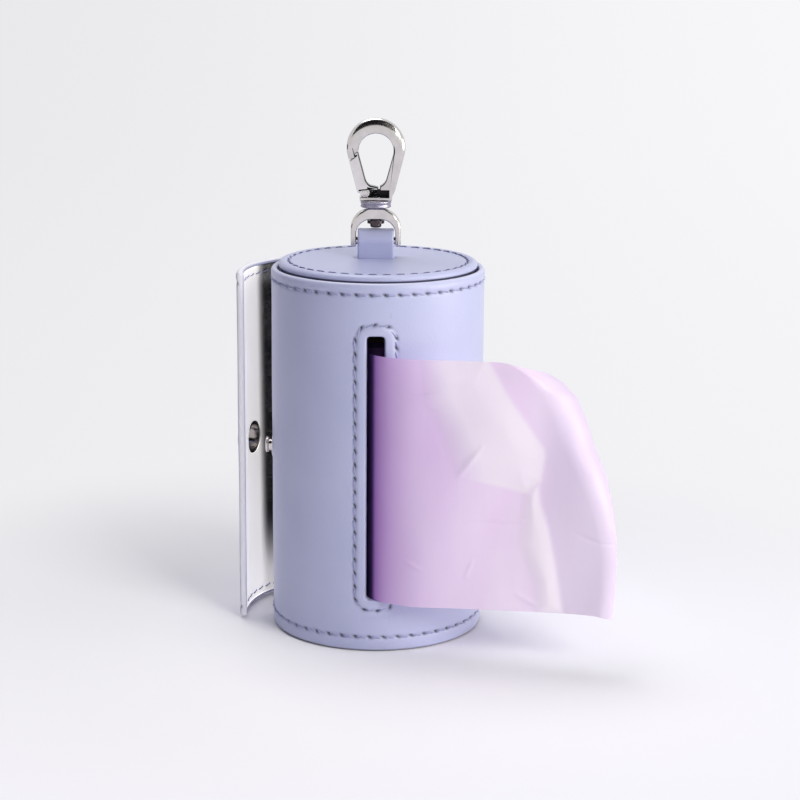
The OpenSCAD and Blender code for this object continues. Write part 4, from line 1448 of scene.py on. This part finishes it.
def lining_paint(name, in_gap):
    """Pale smooth lining with a soft, cloudy grain.

    in_gap paints how it looks in the gap of a nearly closed flap: a glow that stands in for bounced
    light at its free end, and painted shade, nearly black, behind.
    """
    p = Paint(name)
    base = p.ramp(p.noise(9, 4), 0.3, 0.7, linear(244, 241, 238), linear(249, 247, 245))
    if in_gap:
        # Painted shade: nearly black where the gap shuts in; the free end glows with painted bounced
        # light.
        deep = p.reckon("MULTIPLY", p.closeness(GAP_REACH, 0.8, 0.67), p.mark("deep"))
        base = p.mix(deep, base, linear(8, 8, 9))
        painted_glow_share = p.span(deep, 0.6, 0.0)
        painted_bounce_glow = p.reckon("MULTIPLY", p.closeness(GAP_REACH, 0.95, 0.72), painted_glow_share)
        p.set(Emission_Color=base, Emission_Strength=painted_bounce_glow)
    p.bump(p.add(p.cells(0.3), p.noise(1.5), 0.7), 0.02, 0.5)
    p.set(Base_Color=base, Roughness=p.span(p.noise(0.8), 0.55, 0.7), Sheen_Weight=0.2)
    return p.material


def thread_paint(name, dark, light):
    """Waxed sewing thread, darker in its twist."""
    p = Paint(name)
    base = p.ramp(p.noise(0.35, 2), 0.35, 0.65, dark, light)
    p.bump(p.noise(0.12, 2), 0.02, 0.6)
    p.set(Base_Color=base, Roughness=p.span(p.noise(0.5), 0.5, 0.7))
    return p.material


def nickel_paint(name, rough=0.1, tint=(214, 210, 208)):
    """Polished nickel plate over a casting, with faint wear and waviness."""
    p = Paint(name)
    base = p.ramp(p.noise(2.5, 4), 0.35, 0.65, linear(*[c - 10 for c in tint]), linear(*tint))
    # Painted shade and dark reflection, nearly black, where the casting's mark says so.
    base = p.mix(p.mark("painted_shade_and_reflection"), base, linear(30, 28, 31))
    smear = p.add(p.noise(1.6, 4), p.noise(0.2, 2), 0.25)
    p.bump(p.noise(2.2, 2), 0.012, 0.5)
    p.set(Base_Color=base, Metallic=1.0, Roughness=p.span(smear, rough - 0.04, rough + 0.1))
    return p.material


def spring_paint():
    p = Paint("spring_paint")
    base = p.ramp(p.noise(0.5, 3), 0.35, 0.65, linear(44, 44, 48), linear(84, 84, 88))
    p.set(Base_Color=base, Metallic=1.0, Roughness=p.span(p.noise(0.3), 0.25, 0.4))
    return p.material


def card_paint(name, dark, light):
    """Grey-brown pressed card with fibres."""
    p = Paint(name)
    fibre = p.noise(0.6, 2, stretch=(1, 1, 0.2))
    base = p.ramp(p.add(p.noise(2.0, 5), fibre, 0.5), 0.45, 1.05, dark, light)
    p.bump(fibre, 0.03, 0.6)
    p.set(Base_Color=base, Roughness=p.span(p.noise(0.7), 0.75, 0.9))
    return p.material


def film_paint():
    """Thin glossy plastic film that lets light through."""
    p = Paint("film_paint")
    cloud = p.noise(14, 2, stretch=(1, 1, 0.35))
    plain = p.ramp(cloud, 0.3, 0.7, linear(247, 220, 252), linear(253, 236, 255))
    # Painted shade: a deeper purple near the slot, where more plies also gather, and a near-black purple
    # inside the case.
    plain = p.mix(p.mark("near_slot"), plain, linear(176, 108, 212))
    plain = p.mix(p.mark("in_case"), plain, linear(44, 22, 78))
    # Painted shade: a duller grey lilac towards the far end.
    plain = p.mix(p.span(p.mark("far_end"), 0.0, 0.7), plain, linear(226, 214, 236))
    # Painted highlight: the bright facet and band made paler.
    plain = p.mix(p.span(p.mark("painted_film_highlight"), 0.0, 0.9), plain, linear(255, 244, 255))
    finish_film(p, plain)
    lit_through = p.node("BsdfTranslucent", {"Color": plain}).outputs[0]
    clear = p.node("BsdfTransparent", {}).outputs[0]
    p.show(p.layer(0.06, p.layer(0.26, p.shader.outputs[0], lit_through), clear))
    return p.material


def wound_film_paint():
    """The same film in the roll, dark from its many plies and from painted shade."""
    p = Paint("wound_film_paint")
    finish_film(p, p.ramp(p.noise(6, 4), 0.35, 0.65, linear(82, 52, 116), linear(102, 70, 136)))
    return p.material


def finish_film(p, colour):
    wrinkle = p.add(p.noise(2.2, 2, stretch=(1, 1, 0.3)), p.noise(7, 3), 1.5)
    p.bump(wrinkle, 0.12, 0.5)
    p.set(Base_Color=colour, Roughness=p.span(p.noise(1.2, 3), 0.26, 0.38))


# Dressing


def dress(obj, material, slot, body, *nodes):
    """Gives a piece its material, its body and the CAD nodes it stands for. slot is not used."""
    obj.data.materials.clear()
    obj.data.materials.append(material)
    if body:
        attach(obj, body)
    if nodes:
        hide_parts(*nodes)
    return obj


def finish_nodes(material, *names):
    """A better material on CAD nodes whose shape is right."""
    for name in names:
        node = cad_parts[name]
        if not node.material_slots:
            node.data.materials.append(material)
        for slot in node.material_slots:
            slot.link = "OBJECT"
            slot.material = material


def build_case(leather, lining, thread, lid_thread):
    dress(wall_leather(), leather, "leather", "case", "wall_leather", "slot_lip")
    dress(wall_lining(), lining, "lining", "case", "wall_lining")
    lid = plug("lid_leather", LID_TOP, LID_LOW, press=strap_press)
    base = plug("base_leather", BASE_TOP, 0.0, look_up=False)
    dress(lid, leather, "leather", "case", "lid_cover")
    dress(base, leather, "leather", "case", "base_cover")
    for name, low in (("lid_lining", LID_LOW - PLUG_LINING), ("base_lining", BASE_TOP)):
        dress(disc(name + "_disc", PLUG_R, low, low + PLUG_LINING), lining, "lining", "case", name)
    dress(swept_strap(), leather, "leather", "case", "strap_loop")
    along = np.arange(WALL_STITCH_START, WALL_LENGTH - 0.5, PITCH)
    for i, z in enumerate(WALL_LINES):
        dress(panel_stitches(f"wall_thread_{i}", WALL, along, z), thread, "leather", "case")
    lid_row = ring_stitches("lid_thread", LID_TOP - THREAD_SUNK, 1.0)
    dress(lid_row, lid_thread, "leather", "case")
    dress(ring_stitches("base_thread", THREAD_SUNK, -1.0), thread, "leather", "case")
    dress(slot_stitches(), thread, "leather", "case")
    for i, s in enumerate((STITCH_IN, WALL_LENGTH - STITCH_IN)):
        row = panel_stitches(f"wall_edge_thread_{i}", WALL, s, np.arange(*WALL_EDGE_ROW, PITCH))
        dress(row, thread, "leather", "case")


def build_flap(leather, edge_highlight_leather, lining, thread):
    dress(flap_leather(), edge_highlight_leather, "leather", "flap", "flap_leather")
    dress(flap_lining(), lining, "lining", "flap", "flap_lining")
    along = np.arange(FLAP_STITCH_START, FLAP_LENGTH - 2, PITCH)
    for side, word in ((1, "out"), (-1, "in")):
        for i, z in enumerate(FLAP_LINES):
            row = panel_stitches(f"flap_thread_{word}_{i}", FLAP, along, z, side, turn=True)
            dress(row, thread, "leather", "flap")
    fold = dress(hinge_leather(), leather, "leather", None, "hinge_fold")
    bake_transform(fold)


def build_metal(nickel, bright):
    """Hook, gate and eye. bright is the gate's own polish."""
    body = casting("hook_casting", hook_outline(), HOOK_DEPTH, hook_bevel, hook_shade)
    dress(body, nickel, "nickel", "hook", "hook_body")
    # Collar nickel tinted lavender and darker: a painted reflection of the leather.
    dress(hook_collar(), nickel_paint("collar_paint", 0.3, (158, 154, 170)), "nickel", "hook")
    # Dark nickel paint on the pocket's back: painted shade.
    dress(pocket_cheek(), nickel_paint("pocket_paint", 0.3, (44, 42, 46)), "nickel", "hook")
    dress(pin_head(), nickel, "nickel", "hook")
    gate = casting("gate_casting", gate_outline(), HOOK_DEPTH - 0.3, gate_bevel, gate_shade)
    dress(gate, bright, "nickel", "gate", "hook_gate")
    dress(casting("eye_casting", eye_outline(), 3.0, eye_bevel), nickel, "nickel", "eye", "swivel_eye")
    dress(eye_bar(), nickel, "nickel", "eye")
    coil = dress(gate_coil(), spring_paint(), "spring_steel", "hook", "gate_spring")
    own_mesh(coil)


def build_bags(film, wound):
    sheet = dress(bag_film(), film, "film", "case", "bag_tail")
    dress(wound_roll(), wound, "film", "roll", "bag_roll")


# Camera, lights and stage


def place_camera():
    data = bpy.data.cameras.new("photo_camera")
    data.lens = LENS
    data.sensor_width = SENSOR
    data.clip_start = 0.01
    camera = bpy.data.objects.new("photo_camera", data)
    bpy.context.scene.collection.objects.link(camera)
    camera.matrix_world = Matrix.Translation(Vector(CAMERA_AT) * MM) @ camera_turn().to_4x4()
    bpy.context.scene.camera = camera


def soft_lamp(name, at, aim, size, watts, colour=(1, 1, 1)):
    data = bpy.data.lights.new(name, "AREA")
    data.shape = "RECTANGLE"
    data.size, data.size_y = size[0] * MM, size[1] * MM
    data.energy = watts
    data.color = colour
    lamp = bpy.data.objects.new(name, data)
    bpy.context.scene.collection.objects.link(lamp)
    lamp.location = Vector(at) * MM
    lamp.rotation_euler = (Vector(aim) - Vector(at)).to_track_quat("-Z", "Y").to_euler()


def light_world(colour, strength):
    """Plain light on the object, with a pale backdrop where it is seen directly."""
    world = bpy.data.worlds.new("studio")
    bpy.context.scene.world = world
    tree = Tree(world)
    plain = tree.nodes["Background"]
    tree.feed(plain.inputs["Color"], colour)
    tree.feed(plain.inputs["Strength"], strength)
    pale = tree.node("Background", {"Color": linear(241, 241, 243), "Strength": 1.0})
    both = tree.layer(tree.seen_directly(), plain.outputs[0], pale.outputs[0])
    tree.feed(tree.nodes["World Output"].inputs["Surface"], both)


def sweep_paint():
    """Pale sweep: it takes the object's shadow, and what the camera sees of it is lifted."""
    p = Paint("sweep_paint")
    # Painted light: the floor's colour is a little brighter on the left, where the side lamp leaves it
    # in shade.
    colour = p.ramp(p.along((1, 0, 0), -90, 60), 0.0, 1.0, linear(255, 254, 255), linear(251, 250, 255))
    p.set(Base_Color=colour, Roughness=0.9, Specular_IOR_Level=0.0)
    # The glow's colour is painted backdrop light: duller to the left and far back, palest in front.
    far = p.ramp(p.along((1, 0, 0), -400, 400), 0.0, 1.0, linear(233, 233, 236), linear(247, 247, 250))
    painted_backdrop_light = p.mix(p.along((0, 1, 0), -45, 70), linear(246, 244, 252), far)
    glow = p.node("Emission", {"Color": painted_backdrop_light}).outputs[0]
    share = p.reckon("MULTIPLY", p.seen_directly(), p.distance(58, 170))
    p.show(p.layer(share, p.shader.outputs[0], glow))
    return p.material


def build_stage():
    """Floor that curves up into a backdrop."""
    back, bend, rise = 900.0, 500.0, 1600.0
    profile = [(-1400.0, 0.0), (0.0, 0.0), (back, 0.0)]
    t = np.radians(np.linspace(0, 90, 16)[1:])
    profile += list(zip(back + bend * np.sin(t), bend * (1 - np.cos(t))))
    profile += [(back + bend, rise)]
    x = np.linspace(-2500, 2500, 9)
    points = np.array([[(a, y, z - 0.02) for a in x] for y, z in profile])
    faces = grid_faces(len(profile), len(x))
    floor = mesh_object("sweep", points.reshape(-1, 3), faces)
    floor.data.materials.append(sweep_paint())
    floor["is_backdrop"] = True


def from_angles(azimuth, elevation, distance):
    """Place of a lamp, seen from the middle of the object."""
    a, e = math.radians(azimuth), math.radians(elevation)
    way = np.array((math.cos(e) * math.cos(a), math.cos(e) * math.sin(a), math.sin(e)))
    return tuple(np.array((0.0, 0.0, 50.0)) + way * distance)


def dark_card(name, middle, half_a, half_b):
    """Black card that only reflections see, for the dark lines in polished metal."""
    middle, half_a, half_b = (np.array(v, float) for v in (middle, half_a, half_b))
    corners = [middle + a * half_a + b * half_b for a, b in ((-1, -1), (1, -1), (1, 1), (-1, 1))]
    card = mesh_object(name, corners, [[0, 1, 2, 3]])
    p = Paint(name + "_paint")
    p.set(Base_Color=linear(6, 6, 8), Roughness=1.0)
    card.data.materials.append(p.material)
    for rays in ("camera", "diffuse", "transmission", "shadow"):
        setattr(card, "visible_" + rays, False)
    card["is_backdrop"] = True


def build_cards():
    dark_card("card_above", (0, -270, 388), (330, 0, 0), (0, 150, 150))
    dark_card("card_left", (-300, 0, 98), (0, 120, 0), (0, 0, 30))


def build_lights():
    light_world((0.96, 0.95, 1.12, 1.0), 0.175)
    middle = (0, 0, 50)
    soft_lamp("key", from_angles(-51, 30, 700), middle, (300, 300), 2.65, (1.0, 0.99, 0.93))
    soft_lamp("side", from_angles(-14, 7, 650), middle, (420, 200), 1.75, (1.0, 0.98, 0.86))
    soft_lamp("top", from_angles(125, 74, 700), middle, (380, 380), 2.3)


def save_sizes():
    def plain(box):
        return [[float(c) for c in corner] for corner in box]

    {"cad": plain(cad_box), "visual": plain(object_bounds())}


def build():
    place_camera()
    tones = linear(179, 183, 219), linear(187, 190, 224)
    leather = leather_paint("leather_paint", *tones, linear(214, 214, 238))
    # The flap's copy paints its round edges nearly white, a painted highlight.
    edge_highlight_leather = leather_paint("edge_highlight_leather_paint", *tones, linear(250, 249, 255), wear_and_highlight_share=1.0)
    lining = lining_paint("lining_paint", in_gap=False)
    flap_lining_look = lining_paint("flap_lining_paint", in_gap=True)
    thread = thread_paint("thread_paint", linear(146, 148, 188), linear(172, 174, 211))
    # The lid's copy of the thread is painted darker: painted shade along its sunk stitch line.
    lid_thread = thread_paint("lid_thread_paint", linear(92, 94, 132), linear(124, 126, 164))
    nickel = nickel_paint("nickel_paint")
    bright = nickel_paint("gate_nickel_paint", 0.07, (224, 221, 220))
    build_bags(film_paint(), wound_film_paint())
    build_case(leather, lining, thread, lid_thread)
    build_flap(leather, edge_highlight_leather, flap_lining_look, thread)
    build_metal(nickel, bright)
    finish_nodes(nickel, "snap_stud", "snap_post", "snap_socket", "snap_cap", "gate_pin")
    finish_nodes(nickel_paint("rivet_paint", 0.2, (84, 76, 80)), "swivel_washer", "swivel_rivet")
    finish_nodes(card_paint("board_paint", linear(70, 60, 58), linear(104, 92, 84)),
                 "wall_board", "flap_board", "lid_board", "base_board")
    finish_nodes(card_paint("core_paint", linear(88, 72, 58), linear(116, 98, 82)), "roll_core")
    build_lights()
    build_cards()
    build_stage()
    bpy.context.scene.view_settings.view_transform = "Standard"
    save_sizes()


build()
